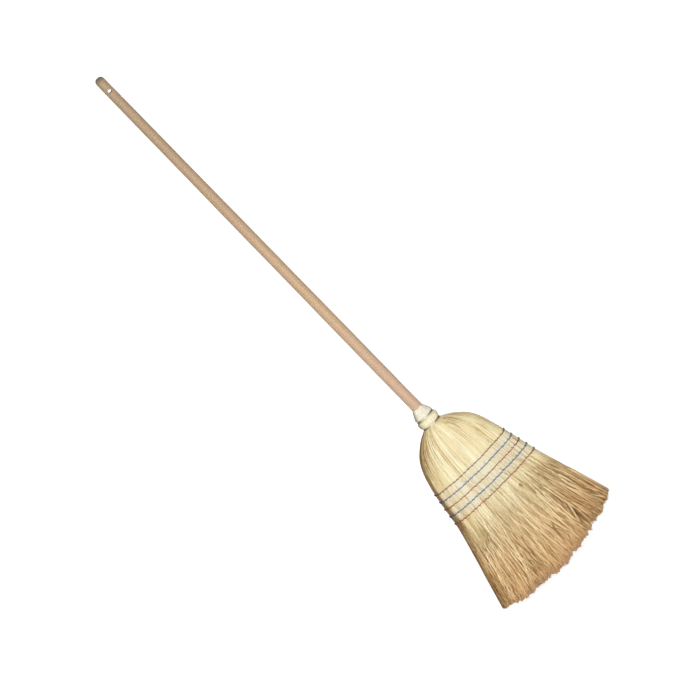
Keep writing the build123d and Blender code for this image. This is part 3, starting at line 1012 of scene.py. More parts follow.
@dataclass
class Stick:
    """The turned stick with its hanging hole.

    Each of its slow hand-turned waves is a depth, a pitch up the stick, a count of lobes and a phase.
    """

    foot_level: float
    finish: Material
    length: float = 1.3975
    foot: float = 0.3
    point_radius: float = 0.006
    point_length: float = 0.072
    neck_radius: float = 0.0125
    collar_top: float = 0.449
    straight_end: float = 0.445
    top_radius: float = 0.0105
    top_round: tuple = (0.01, 0.0082)
    waves: tuple = ((0.0001, 21.0, 2.0, 0.0), (0.00007, 58.0, -1.0, 1.3))
    hole_height: float = 1.362
    hole_radius: float = 0.004
    hole_worn: float = 0.0007
    hole_mouth: float = 0.0014
    drill_past: float = 0.004
    columns: int = 72
    taper_rows: int = 150
    round_rows: int = 12
    drill_columns: int = 40
    sharp_angle: float = math.radians(38)

    def profile(self) -> tuple[Array, Array]:
        """Radius by height: point, straight run, taper, quarter round at the top.

        Returns:
            Heights and radii.
        """
        tall, wide = self.top_round
        taper = np.linspace(self.collar_top, self.length - tall, self.taper_rows)
        slope = (self.top_radius - self.neck_radius) / (self.length - self.collar_top)
        angle = np.linspace(0.0, math.pi / 2.0, self.round_rows)[1:]
        foot_z = [self.foot, self.foot + self.point_length, self.straight_end]
        foot_r = [self.point_radius, self.neck_radius, self.neck_radius]
        taper_r = self.neck_radius + slope * (taper - self.collar_top)
        round_z = self.length - tall * (1.0 - np.sin(angle))
        round_r = self.top_radius - wide * (1.0 - np.cos(angle))
        return np.concatenate([foot_z, taper, round_z]), np.concatenate([foot_r, taper_r, round_r])

    def turned(self) -> Surface:
        """The profile turned about the stick's axis, with waves a tenth of a millimetre deep.

        Returns:
            The surface.
        """
        heights, radii = self.profile()
        angle = even_angles(self.columns)
        wave = np.zeros((len(heights), self.columns))
        for depth, pitch, lobes, phase in self.waves:
            wave += depth * np.sin(pitch * heights[:, None] + lobes * angle + phase)
        radius = radii[:, None] + wave * (radii[:, None] > 0.009)
        level = np.broadcast_to((self.foot_level + heights)[:, None, None], (*radius.shape, 1))
        points = np.concatenate([radius[:, :, None] * around(angle), level], axis=-1)
        share = (heights - self.foot) / (self.length - self.foot)
        return wrapped(points, even_shares(self.columns + 1), share)

    def bore(self) -> Surface:
        """The hanging hole as a body along Y, a little wider where it leaves the wood.

        Returns:
            The surface.
        """
        half = self.top_radius + 0.0003
        right = np.array([half - self.hole_mouth, half, half + self.drill_past])
        run = np.concatenate([-right[::-1], right])
        radius = self.hole_radius + np.array([1.0, 1.0, 0.0, 0.0, 1.0, 1.0]) * self.hole_worn
        angle = even_angles(self.drill_columns)
        aside = radius[:, None] * np.sin(angle)
        level = self.foot_level + self.hole_height + radius[:, None] * np.cos(angle)
        points = np.stack([aside, np.broadcast_to(run[:, None], aside.shape), level], axis=-1)
        places_across = even_shares(self.drill_columns + 1)
        return wrapped(points, places_across, even_shares(len(run)))

    def build(self) -> None:
        """Turns the stick, drills it and places it."""
        blank = bpy.data.objects.new("blank", self.turned().mesh("blank"))
        drill = bpy.data.objects.new("drill", self.bore().mesh("drill"))
        for item in (blank, drill):
            show(item)
        cut = blank.modifiers.new("hanging_hole", "BOOLEAN")
        cut.operation, cut.object, cut.solver = "DIFFERENCE", drill, "EXACT"
        evaluated = blank.evaluated_get(bpy.context.evaluated_depsgraph_get())
        drilled = unmapped(bpy.data.meshes.new_from_object(evaluated))
        drilled.name = "stick"
        for item in (blank, drill):
            bpy.data.objects.remove(item)
        drilled.materials.clear()
        drilled.set_sharp_from_angle(angle=self.sharp_angle)
        placed("stick", drilled, self.finish, "bare_wood", "handle")


@dataclass
class Collar:
    """Pared stalk ends that stand round the stick in two tiers above the head.

    Spreads are the least and the most of what differs from stalk to stalk.
    """

    foot_level: float
    finish: Material
    stalks: int = 27
    columns: int = 540
    rows: int = 110
    foot: float = 0.397
    lower_groove_top: float = 0.40725
    lower_tier_top: float = 0.42155
    upper_groove_top: float = 0.42715
    top: float = 0.44915
    neck_radius: float = 0.023
    lower_groove_depth: float = 0.0016
    upper_groove_depth: float = 0.0024
    groove_edge: float = 0.0008
    bulge: float = 0.0019
    cone_step: float = 0.0004
    cone_power: float = 1.12
    top_radius: float = 0.0132
    bore_radius: float = 0.0112
    dished: float = 0.0012
    flute: float = 0.0007
    flute_deepest: float = 1.25
    flute_fading: float = 0.6
    width_spread: tuple = (0.65, 1.35)
    top_spread: tuple = (-0.0022, 0.0006)
    proud_spread: tuple = (-0.0004, 0.0005)
    wear: float = 0.00018
    wear_spread: tuple = (0.2, 1.0)
    wear_pitch: float = 900.0
    aside: float = -0.0011
    tilt: float = 0.0003
    raised: float = -0.0004
    seed: int = 11

    def past(self, height: Array, edge: float) -> Array:
        """A soft step from 0 below an edge to 1 above it."""
        return eased((height - edge + self.groove_edge) / (2.0 * self.groove_edge))

    def radius(self, height: Array) -> Array:
        """Radius by height: groove, bulged lower tier, groove, cone.

        Args:
            height: Height above the tips.

        Returns:
            Radii.
        """
        tier = (height - self.lower_groove_top) / (self.lower_tier_top - self.lower_groove_top)
        lower = self.neck_radius + self.bulge * np.maximum(1.0 - (2.0 * tier - 1.0) ** 2, 0.0)
        cone = np.clip((height - self.upper_groove_top) / (self.top - self.upper_groove_top), 0.0, 1.0)
        narrowing = (self.neck_radius - self.top_radius) * cone**self.cone_power
        upper = self.neck_radius - self.cone_step - narrowing
        low_groove = 1.0 - self.past(height, self.lower_groove_top)
        above_groove = self.past(height, self.upper_groove_top)
        high_groove = self.past(height, self.lower_tier_top) * (1.0 - above_groove)
        body = np.where(height < (self.lower_tier_top + self.upper_groove_top) / 2.0, lower, upper)
        return body - self.lower_groove_depth * low_groove - self.upper_groove_depth * high_groove

    def surface(self) -> Surface:
        """Each stalk is a rounded rib between two creases, and ends at its own height on the cone.

        Radius = profile(height) + flute * (rounded rib of the place across the stalk - 1), and each
        stalk's heights above the upper groove are stretched to its own top.

        Returns:
            The surface.
        """
        rng = np.random.default_rng(self.seed)
        widths = rng.uniform(*self.width_spread, self.stalks)
        edges = np.concatenate([[0.0], np.cumsum(widths) / widths.sum()])
        turn = (np.arange(self.columns) + 0.5) / self.columns
        stalk = np.searchsorted(edges, turn, side="right") - 1
        share = 2.0 * (turn - edges[stalk]) / (edges[stalk + 1] - edges[stalk]) - 1.0
        rib = np.sqrt(np.maximum(1.0 - 0.92 * share**2, 0.0)) - 1.0
        angle = FULL_TURN * turn
        slope = self.raised - self.tilt * np.cos(angle)
        top = self.top + slope + rng.uniform(*self.top_spread, self.stalks)[stalk]
        proud = rng.uniform(*self.proud_spread, self.stalks)[stalk]
        rise = even_shares(self.rows)
        even = self.foot + rise[:, None] * (self.top - self.foot)
        above = eased((even - self.upper_groove_top) / (self.top - self.upper_groove_top))
        height = even + above * (top - self.top)
        worn = self.wear * np.sin(height * self.wear_pitch + 6.0 * stalk)
        worn = worn * rng.uniform(*self.wear_spread, self.stalks)[stalk]
        fluted = self.flute * rib * (self.flute_deepest - self.flute_fading * above)
        radius = self.radius(even) + fluted + proud + worn
        ring = around(angle)
        level = self.foot_level + height
        points = np.concatenate([radius[:, :, None] * ring, level[:, :, None]], axis=-1)
        points[..., 0] += self.aside
        inner = points[-1].copy()
        inner[:, :2] = ring * self.bore_radius
        inner[:, 2] -= self.dished
        points = np.concatenate([points, inner[None]])
        along = np.append(rise * 0.97, 1.0)
        return wrapped(points, even_shares(self.columns + 1), along)

    def build(self) -> None:
        """Builds the collar."""
        placed("collar", self.surface(), self.finish, "stalk_ends", "cover_stalks", "inside_stalks")


@dataclass
class Binding:
    """Steel wire wound in the grooves of the collar, and the tacks that hold its ends.

    Each winding is a word for it, the radius of its groove's floor, the height of its start and its turns.
    """

    foot_level: float
    finish: Material
    windings: tuple = (
        ("lower", 0.0216, 0.40115, 3),
        ("upper", 0.0206, 0.42270, 2),
        ("inner", 0.0145, 0.41115, 2),
    )
    wire_radius: float = 0.0006
    pitch: float = 0.00165
    clearance: float = 0.0001
    stop: float = 0.085
    aside: float = -0.0011
    steps_per_turn: int = 120
    sides: int = 10

    def winding(self, word: str, seat: float, first: float, turns: int) -> None:
        """A wire that climbs evenly round the collar, with both ends at the back.

        Args:
            word: Which wire.
            seat: Radius of the groove's floor.
            first: Height of the first turn's start.
            turns: Turns in all.
        """
        back = math.pi / 2.0
        end = back + FULL_TURN * turns - self.stop
        angle = np.linspace(back + self.stop, end, self.steps_per_turn * turns)
        radius = seat + self.wire_radius + self.clearance
        level = self.foot_level + first + self.pitch * (angle - back) / FULL_TURN
        path = np.stack([self.aside + radius * np.cos(angle), radius * np.sin(angle), level], -1)[None]
        outward = np.stack([np.cos(angle), np.sin(angle), np.zeros_like(angle)], -1)[None]
        runs = even_shares(len(angle))
        wire = tubes(path, outward, self.wire_radius, self.sides, 1.0, 0.0, runs, 1.0)
        name = f"{word}_binding"
        placed(name, unmapped(wire.mesh(name)), self.finish, "binding_wire", f"{word}_wire")

    def build(self, tacks: Piece) -> None:
        """Winds both visible wires and the hidden one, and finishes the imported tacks.

        Args:
            tacks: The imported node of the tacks.
        """
        for slot in tacks.material_slots:
            slot.material = self.finish
        for winding in self.windings:
            self.winding(*winding)


@dataclass(frozen=True)
class Lay:
    """How one kind of straw lies. Pairs are the least and the most; tone is the middle and the spread."""

    count: int
    steps: int
    start: Pair
    stop: Pair
    radius: Pair
    depth: Pair
    tone: Pair
    tip: float = 0.7
    wave: float = 0.0005
    sides: int = 4
    reaches_edge: float = 0.0
    stray: float = 0.0
    buried: float = 0.0
    lift: float = 0.0
    ragged: float = 0.003
    neck_share: float = 0.45
    flat: float = 0.8
    crowding: float = 1.6
    gives: float = 1.0
    short: float = 0.0


@dataclass(frozen=True)
class CoverStraw:
    """The kinds of straw in a cover: those that are sewn down, those of the sweep and those of its edge."""

    sheaths: Lay = Lay(
        count=130, sides=6, steps=6, start=(-0.0045, -0.0034), stop=(0.2, 0.265), radius=(0.0024, 0.0042),
        tip=0.14, depth=(0.0, 0.0012), tone=(0.7, 0.05), stray=0.002, wave=0.0004, lift=0.0006,
        neck_share=0.34, flat=0.3,
    )
    stems: Lay = Lay(
        count=290, sides=5, steps=7, start=(-0.0045, -0.0034), stop=(0.2, 0.3), reaches_edge=0.2,
        radius=(0.001, 0.0017), tip=0.4, depth=(0.0, 0.0026), tone=(0.7, 0.06), stray=0.003, lift=0.0012,
    )
    threads: Lay = Lay(
        count=44, steps=12, start=(0.003, 0.05), stop=(0.065, 0.107), radius=(0.0004, 0.0007), tip=0.5,
        depth=(-0.0006, 0.0001), tone=(0.52, 0.1), buried=0.001, neck_share=0.8,
    )
    slips: Lay = Lay(
        count=50, steps=12, start=(0.003, 0.06), stop=(0.055, 0.107), radius=(0.0006, 0.0011), tip=0.4,
        depth=(-0.0006, 0.0002), tone=(0.88, 0.05), buried=0.001,
    )
    # Dark straws that paint the shade in the creases that run from the neck.
    creases: Lay = Lay(
        count=16, steps=10, start=(-0.001, 0.015), stop=(0.03, 0.085), radius=(0.0005, 0.0009), tip=0.4,
        depth=(-0.0006, 0.0), tone=(0.36, 0.1), wave=0.0003, buried=0.0008, neck_share=0.8,
    )
    short_creases: Lay = replace(creases, stop=(0.016, 0.042))
    panels: Lay = Lay(
        count=7, sides=6, steps=12, start=(0.034, 0.066), stop=(0.099, 0.106), radius=(0.0022, 0.0034),
        tip=0.35, depth=(-0.0004, 0.0), tone=(0.53, 0.04), wave=0.0003, buried=0.0012, flat=0.3,
    )
    under: Lay = Lay(
        count=900, steps=6, start=(0.15, 0.2), stop=(0.27, 0.37), reaches_edge=0.88,
        radius=(0.0008, 0.0013), tip=0.6, depth=(0.001, 0.006), tone=(0.66, 0.13), stray=0.015,
        buried=0.003, lift=0.002, short=0.0015,
    )
    fringe: Lay = Lay(
        count=240, steps=6, start=(0.183, 0.215), stop=(0.222, 0.34), reaches_edge=0.12,
        radius=(0.00045, 0.0007), tip=0.6, depth=(-0.0006, 0.0006), tone=(0.52, 0.17), stray=0.008,
        wave=0.0004, buried=0.0015, lift=0.0016,
    )
    # Long dark straws that paint the shade of furrows down the head.
    furrows: Lay = Lay(
        count=22, steps=26, start=(0.095, 0.215), stop=(0.25, 0.35), radius=(0.0004, 0.00065), tip=0.5,
        depth=(-0.0006, 0.0), tone=(0.34, 0.1), stray=0.004, wave=0.0002, buried=0.0012,
    )
    middle: Lay = Lay(
        count=560, steps=7, start=(0.16, 0.29), stop=(0.26, 0.37), reaches_edge=0.78,
        radius=(0.0007, 0.0011), depth=(-0.0003, 0.002), tone=(0.7, 0.15), stray=0.027, buried=0.004,
        lift=0.0028,
    )
    pale: Lay = Lay(
        count=250, steps=6, start=(0.215, 0.345), stop=(0.25, 0.38), reaches_edge=0.6,
        radius=(0.0008, 0.0012), depth=(-0.0006, 0.0006), tone=(0.86, 0.11), stray=0.031, buried=0.004,
        lift=0.003,
    )
    bright: Lay = Lay(
        count=100, sides=5, steps=7, start=(0.22, 0.345), stop=(0.26, 0.385), reaches_edge=0.62,
        radius=(0.001, 0.0014), tip=0.75, depth=(-0.0014, -0.0002), tone=(1.02, 0.06), stray=0.029,
        buried=0.004, lift=0.0034, gives=0.5,
    )
    # Dark straws laid on top as painted shade, for the shaded gaps between paler straws.
    shades: Lay = Lay(
        count=290, steps=5, start=(0.2, 0.365), stop=(0.24, 0.396), reaches_edge=0.45,
        radius=(0.0005, 0.0008), depth=(-0.0008, 0.0004), tone=(0.29, 0.1), stray=0.033, wave=0.0004,
        buried=0.002, lift=0.0022,
    )
    twigs: Lay = Lay(
        count=640, sides=3, steps=5, start=(0.285, 0.365), stop=(0.35, 0.38), reaches_edge=0.97,
        radius=(0.0006, 0.001), depth=(-0.001, 0.003), tone=(0.66, 0.3), stray=0.045, wave=0.0006,
        buried=0.001, lift=0.0035, ragged=0.0034,
    )
    ends: Lay = Lay(
        count=520, sides=3, steps=4, start=(0.325, 0.38), stop=(0.36, 0.39), reaches_edge=0.85,
        radius=(0.0005, 0.0009), depth=(-0.0014, 0.001), tone=(0.62, 0.34), stray=0.085, wave=0.0004,
        buried=0.001, lift=0.003, ragged=0.0042,
    )
    # Short dark straws at the tips, painted shade for the gaps between tufts.
    tip_gap_shades: Lay = Lay(
        count=90, sides=3, steps=4, start=(0.34, 0.385), stop=(0.36, 0.396), reaches_edge=0.5,
        radius=(0.0005, 0.0009), depth=(-0.0014, 0.0), tone=(-0.24, 0.1), stray=0.05, wave=0.0004,
        buried=0.001, lift=0.003,
    )

    def sewn(self) -> tuple[Lay, ...]:
        """The kinds that are sewn down all over a face."""
        return self.sheaths, self.stems, self.threads, self.slips

    def swept(self) -> tuple[Lay, ...]:
        """The kinds of the sweep and its edge, from the inside out."""
        lower = (self.under, self.fringe, self.furrows, self.middle)
        return (*lower, self.pale, self.bright, self.shades, self.twigs, self.ends, self.tip_gap_shades)


@dataclass(frozen=True)
class Strands:
    """The straws of one kind: root and depth of each, its lean from a pivot and how far it gives way."""

    turn: Array
    radius: Array
    depth: Array
    start: Array
    lean: Array
    pivot: Array
    phase: Array
    give: Array
    lay: Lay


@dataclass(frozen=True)
class Parting:
    """A place where the loose straw has opened like a V: where it begins, how far and how wide it opens."""

    turn: float
    drop: float
    run: float
    half_width: float
    slant: float = 0.0

    def half_opening(self, drop: Array) -> Array:
        """Half the width at a drop: it grows evenly from the upper end, and then stays."""
        return self.half_width * np.clip((drop - self.drop) / self.run, 0.0, 1.0)

    def aside(self, turns: Array, drop: Array, girth: Array) -> Array:
        """Distance round the girth from the parting's middle line, which slants along the drop."""
        line = self.turn + self.slant * (drop - self.drop)
        return ((turns - line + 0.5) % 1.0 - 0.5) * girth


@dataclass(frozen=True)
class Tufts:
    """Tufts that the loose straw gathers into: where each lies, how far it closes, leans and is cut.

    A tuft goes right through the sweep, so those of the back mirror those of the front.
    """

    middle: Array
    pull: Array
    lean: Array
    cut: Array
    point: Array
    slope: Array
    tone: Array

    @staticmethod
    def drawn(rng: Rng, count: int, depth: float) -> Tufts:
        """Draws tufts over the front, and mirrors them to the back.

        Some are cut much shorter than others. Those at the two ends of a face are cut less.

        Args:
            rng: Source of numbers.
            count: Number of tufts on each face.
            depth: How unevenly they are cut.

        Returns:
            The tufts.
        """
        middle = 0.5 + 0.5 * (np.arange(count) + 0.5 + rng.uniform(-0.46, 0.46, count)) / count
        pull = rng.uniform(0.03, 0.28, count)
        lean = rng.normal(0.0, 0.0030, count)
        cut = depth * (rng.uniform(0.0, 1.0, count) + 0.7 * (rng.random(count) < 0.18))
        point = depth * rng.uniform(0.2, 1.2, count)
        slope = depth * rng.normal(0.0, 0.4, count)
        from_end = np.minimum(np.arange(count), count - 1 - np.arange(count)) / count
        kept = eased(0.15 + from_end / 0.10)
        return Tufts(
            np.concatenate([middle, 1.0 - middle]),
            np.tile(pull, 2),
            np.concatenate([lean, -lean]),
            np.tile(kept * cut, 2),
            np.tile(kept * point, 2),
            np.concatenate([kept * slope, -(kept * slope)]),
            rng.normal(0.0, 0.050, 2 * count),
        )

    def trimmed(self, turn: Array) -> Array:
        """How much shorter straw ends: by its tuft's cut, and a slanted wedge across the tuft.

        Args:
            turn: Turn of each tip.

        Returns:
            Lengths that are cut off.
        """
        tuft = self.nearest(turn)
        across = ((turn - self.middle[tuft] + 0.5) % 1.0 - 0.5) * 2.0 * len(self.middle)
        across = np.clip(across, -1.0, 1.0)
        wedge = self.point[tuft] * np.abs(across)
        return np.maximum(self.cut[tuft] + wedge + self.slope[tuft] * across, 0.0)

    def nearest(self, turn: Array) -> Array:
        """Number of the tuft that each turn lies in."""
        apart = np.abs((turn[:, None] - self.middle[None] + 0.5) % 1.0 - 0.5)
        return apart.argmin(axis=1)


@dataclass
class StrawHead:
    """All the straw: two covers, two shoulders and the inside, each from the neck to the trimmed edge.

    Shades and gains are changes of tone, which runs from 0 to 1. The shades of sides, edges, depth,
    partings and the neck are painted shade, a negative shade is painted light, the tip gain is partly
    painted light and the end gain is painted light. Stretches of creases are shares of a face from its left
    edge as seen from outside, and that of the panels is turns before the face's last one. Each edge of the
    head is its turn, the half width of its shade, that shade and its outline's.
    """

    form: HeadForm
    finish: Material
    kinds: CoverStraw = CoverStraw()
    shoulder_stems: Lay = Lay(
        count=120, steps=6, start=(-0.004, -0.003), stop=(0.24, 0.33), reaches_edge=0.5,
        radius=(0.0011, 0.0017), tip=0.4, depth=(0.0055, 0.012), tone=(0.8, 0.1), stray=0.0016,
        wave=0.0007,
    )
    shoulder_loose: Lay = Lay(
        count=620, steps=7, start=(0.15, 0.2), stop=(0.27, 0.36), reaches_edge=0.85,
        radius=(0.0006, 0.0011), tip=0.5, depth=(0.005, 0.017), tone=(0.92, 0.14), stray=0.005,
        wave=0.0008, buried=0.002, lift=0.002, short=0.002,
    )
    inside_loose: Lay = Lay(
        count=2400, steps=6, start=(0.17, 0.21), stop=(0.29, 0.36), reaches_edge=0.92,
        radius=(0.0008, 0.0014), depth=(0.006, 0.038), tone=(1.0, 0.16), stray=0.0055, wave=0.0008,
        crowding=0.9, short=0.002,
    )
    seed: int = 5
    band_seed: int = 8604
    crease_stretch: tuple = (0.06, 0.32)
    short_crease_stretch: tuple = (0.66, 0.92)
    more_crease_stretch: tuple = (0.02, 0.18)
    panel_stretch: tuple = (0.128, 0.062)
    shoulders: tuple = (("left", (0.37, 0.63)), ("right", (-0.13, 0.13)))
    tuft_count: int = 28
    tuft_depth: float = 0.0023
    wisp_count: int = 84
    wisp_depth: float = 0.0026
    wide_parting: Parting = Parting(0.8805, 0.298, 0.046, 0.006, -0.36)
    parting_count: int = 34
    parting_drops: tuple = (0.215, 0.35)
    parting_runs: tuple = (0.025, 0.07)
    parting_half_widths: tuple = (0.0003, 0.0011)
    parting_reach: float = 0.01
    parted_reach: float = 0.016
    hollow: float = 0.003
    crossings: tuple = (
        ((0.8845, 0.290), (0.8380, 0.373)),
        ((0.8790, 0.304), (0.8488, 0.360)),
        ((0.8785, 0.298), (0.8741, 0.369)),
        ((0.8861, 0.305), (0.8847, 0.362)),
    )
    husk: tuple = (0.8205, 0.2085)
    core_columns: int = 360
    core_depth: float = 0.0044
    core_furrow: float = 0.0022
    # Painted shade: the packed core is drawn in darker tones than the straw laid over it.
    core_tones: tuple = (0.34, 0.5)
    shoulder_drops: tuple = (
        -0.0026, -0.0010, 0.0005, 0.0025, 0.0055, 0.0095, 0.015, 0.022, 0.032, 0.046, 0.064, 0.084, 0.099
    )
    sway_lengths: tuple = (0.017, 0.034, 0.061)
    sway_shares: tuple = (0.35, 0.45, 0.6)
    sway_phases: tuple = (1.9, 1.0, 2.7)
    sway_bound: float = 0.18
    sway_gain: float = 0.5
    edge_lean: float = 0.35
    outer_depth: float = 0.0014
    inner_depth: float = 0.003
    loosening: float = 0.35
    burial_run: float = 0.03
    neck_start: float = -0.0045
    neck_lap: float = 0.0042
    neck_lap_run: float = 0.022
    neck_narrow_run: float = 0.05
    tucked: float = 0.0018
    overhang: float = 0.001
    most_ragged: float = 0.07
    least_length: float = 0.012
    band_waves: tuple = (8.0, 13.0, 19.0, 27.0, 41.0)
    band_heights: tuple = (0.03, 0.048, 0.052, 0.046, 0.026)
    # Painted shade at the sides and edges of the head; the right edge's negative shades are painted light.
    lopsided: float = 0.65
    side_shade: float = 0.28
    bound_side_shade: float = 0.1
    edges: tuple = ((0.5, 0.058, 0.66, 0.64), (0.0, 0.036, -0.05, -0.14))
    outline_turn: float = 0.023
    # Painted shade: deeper straw, straw open to view in a parting and straw near the neck are drawn darker.
    depth_shade: float = 28.0
    deepest_shade: float = 0.2
    opening_shade: float = 0.9
    neck_shade: float = 0.07
    neck_shade_run: float = 0.045
    wisp_gain: float = 2.6
    # Lighter towards the tips, partly their own paler colour and partly painted light; each straw's last
    # stretch gets painted light.
    tip_gain: float = 0.26
    end_gain: float = 0.14
    end_run: float = 0.022
    fan_gain: tuple = ((0.0, 0.08, 0.36, 0.6, 0.78, 1.0), (0.0, 0.125, 0.15, 0.02, -0.015, 0.15))
    mapped_drop: float = 0.41
    first_lane: float = 0.005
    lanes_width: float = 0.975
    tufts: Tufts = field(init=False)
    wisps: Tufts = field(init=False)
    partings: list[Parting] = field(init=False)
    band_phases: Array = field(init=False)

    def __post_init__(self) -> None:
        """Draws the tufts, the partings and the soft bands of tone that every bundle shares."""
        rng = np.random.default_rng(self.seed)
        self.tufts = Tufts.drawn(rng, self.tuft_count, self.tuft_depth)
        self.wisps = Tufts.drawn(rng, self.wisp_count, self.wisp_depth)
        self.partings = [self.wide_parting]
        for turn in (np.arange(self.parting_count) + rng.random(self.parting_count)) / self.parting_count:
            run = rng.uniform(*self.parting_runs)
            drop = rng.uniform(*self.parting_drops)
            self.partings.append(Parting(turn, drop, run, rng.uniform(*self.parting_half_widths)))
        band_rng = np.random.default_rng(self.band_seed)
        self.band_phases = band_rng.uniform(0.0, FULL_TURN, len(self.band_waves))

    def bands(self, turn: Array, loose: Array) -> Array:
        """Bands of lighter and darker straw: a sum of steep-sided waves, fainter in the sweep."""
        angle = FULL_TURN * turn[..., None] * np.array(self.band_waves) + self.band_phases
        total = (np.array(self.band_heights) * np.tanh(2.0 * np.sin(angle))).sum(-1)
        return total * (1.0 - 0.65 * eased(loose / 0.25))

    def shade(self, turn: Array, loose: Array) -> Array:
        """Painted shade: how much darker straw is drawn here, towards the sides of the sweep, more on the
        right, and along both edges; a negative shade there is painted light.

        Args:
            turn: Turns, as straw x step.
            loose: Looseness of the same shape.

        Returns:
            What is taken from the tone.
        """
        facing = np.cos(FULL_TURN * turn)
        started = eased(loose / 0.15)
        sides = self.bound_side_shade + (self.side_shade - self.bound_side_shade) * started
        total = sides * facing**2 * (1.0 + self.lopsided * facing)
        for middle, width, broad, thin in self.edges:
            near = np.exp(-((((turn - middle + 0.5) % 1.0 - 0.5) / width) ** 2))
            outline = near ** ((width / self.outline_turn) ** 2)
            total = total + broad * near * (1.0 - 0.65 * started) + thin * outline * started
        return total

    def looseness(self, drop: Array) -> Array:
        """0 down to the last seam, then rising to 1 at the lowest tips."""
        length = self.form.neck_height - self.form.bound_drop
        return np.clip((drop - self.form.bound_drop) / length, 0.0, 1.1)

    def runs(self, drop: Array) -> Array:
        """Places along the straw's map."""
        return np.clip(drop / self.mapped_drop, 0.0, 0.99)

    def stations(self, lay: Lay, start: Array, stop: Array) -> Array:
        """Drops at which each straw is drawn.

        A straw from the neck is drawn close together over the shoulder, at each row and between rows,
        and then evenly to its end. Any other is drawn a little closer at its upper end.

        Args:
            lay: The kind of straw.
            start: Drop of each straw's upper end.
            stop: Drop of each straw's tip.

        Returns:
            Drops, as straw x step.
        """
        share = even_shares(lay.steps)
        if lay.start[1] > 0.0:
            return start[:, None] + (stop - start)[:, None] * share**1.25
        rows = np.array(self.form.row_drops)
        half = (rows[1] - rows[0]) / 2.0
        sewn = np.concatenate([self.shoulder_drops, np.stack([rows, rows + half], -1).ravel()])
        loose = sewn[-1] + (stop - sewn[-1])[:, None] * share[1:]
        fixed = np.broadcast_to(sewn, (len(stop), len(sewn)))
        return np.concatenate([start[:, None], fixed, loose], axis=1)

    def lying(self, strands: Strands, drop: Array) -> Array:
        """The turn of each straw along its drop before partings: drawn to its tuft, leaning and waving.

        Args:
            strands: The straws.
            drop: Drops, as straw x step.

        Returns:
            Turns, as straw x step.
        """
        tuft = self.tufts.nearest(strands.turn % 1.0)
        away = (self.tufts.middle[tuft] - strands.turn + 0.5) % 1.0 - 0.5
        loose = self.looseness(drop)
        length = self.form.neck_height - self.form.bound_drop
        sideways = strands.lean[:, None] * np.maximum(drop - strands.pivot[:, None], 0.0) / length
        sideways = sideways + self.tufts.lean[tuft][:, None] * loose
        phases = strands.phase[:, None, None] * np.array(self.sway_phases)
        waves = np.sin(drop[..., None] / np.array(self.sway_lengths) + phases)
        sway = (np.array(self.sway_shares) * waves).sum(-1)
        sideways = sideways + strands.lay.wave * sway * (self.sway_bound + self.sway_gain * loose)
        closing = (away * self.tufts.pull[tuft])[:, None] * loose**2
        return strands.turn[:, None] + closing + sideways / self.form.girth(drop)

    def beside(self, parting: Parting, strands: Strands) -> Array:
        """How far each straw lies from a parting halfway down it, as straw x 1."""
        halfway = np.full((len(strands.turn), 1), parting.drop + 0.5 * parting.run)
        return parting.aside(self.lying(strands, halfway), halfway, self.form.girth(halfway))

    def gathered(self, strands: Strands, drop: Array) -> Array:
        """The turn of each straw along its drop, moved aside at partings.

        A straw keeps to the side of a parting that it lies on halfway down it. It moves by half the
        opening there, less with its distance from the parting's middle line.

        Args:
            strands: The straws.
            drop: Drops, as straw x step.

        Returns:
            Turns, as straw x step.
        """
        turns = self.lying(strands, drop)
        pushed = np.zeros_like(turns)
        for parting in self.partings:
            aside = self.beside(parting, strands)
            share = np.sign(aside) * np.exp(-np.abs(aside) / self.parting_reach)
            pushed += share * parting.half_opening(drop)
        return turns + strands.give[:, None] * pushed / self.form.girth(drop)

    def parted(self, strands: Strands) -> Strands:
        """The same straws with those beside the wide parting leaning away from it.

        Args:
            strands: The straws.

        Returns:
            The straws with their new leans.
        """
        aside = self.beside(self.wide_parting, strands)[:, 0]
        near = strands.give * np.exp(-((aside / self.parted_reach) ** 2))
        lean = (1.0 - near) * strands.lean + near * np.sign(aside) * np.abs(strands.lean)
        return replace(strands, lean=lean)

    def outermost(self, depth: Array) -> Array:
        """1 for straw on the outside and 0 for straw a few millimetres under it."""
        return 1.0 - eased((depth - self.outer_depth) / self.inner_depth)

    def opened(self, turns: Array, drop: Array) -> Array:
        """How far straw here lies open to view in a parting.

        Args:
            turns: Turns, as straw x step.
            drop: Drops of the same shape.

        Returns:
            Shares from 0 to 1.
        """
        girth = self.form.girth(drop)
        total = np.zeros_like(turns)
        for parting in self.partings:
            half = parting.half_opening(drop) + 1e-5
            near = np.exp(-((parting.aside(turns, drop, girth) / (1.1 * half)) ** 2))
            covered = eased((drop - parting.drop - parting.run) / 0.025)
            total += near * np.minimum(half / 0.0045, 1.0) * (1.0 - covered)
        return np.minimum(total, 1.0)

    def rooted(self, lay: Lay, stretch: Pair, rng: Rng) -> Strands:
        """Draws the roots of one kind of straw, one in each even step of a stretch.

        Args:
            lay: The kind of straw.
            stretch: First and last turn.
            rng: Source of numbers.

        Returns:
            The straws.
        """
        count = lay.count
        turn = stretch[0] + (stretch[1] - stretch[0]) * (np.arange(count) + rng.random(count)) / count
        radius = rng.uniform(*lay.radius, count)
        sunk = rng.random(count) ** lay.crowding
        depth = radius * lay.flat + lay.depth[0] + (lay.depth[1] - lay.depth[0]) * sunk
        inner = 1.0 - np.abs(np.cos(FULL_TURN * turn)) ** 12
        lean = rng.normal(0.0, lay.stray, count) * (self.edge_lean + (1.0 - self.edge_lean) * inner)
        phase = rng.uniform(0.0, FULL_TURN, count)
        start = rng.uniform(*lay.start, count)
        pivot = np.maximum(start, self.form.bound_drop)
        give = lay.gives * self.outermost(depth)
        return self.parted(Strands(turn, radius, depth, start, lean, pivot, phase, give, lay))

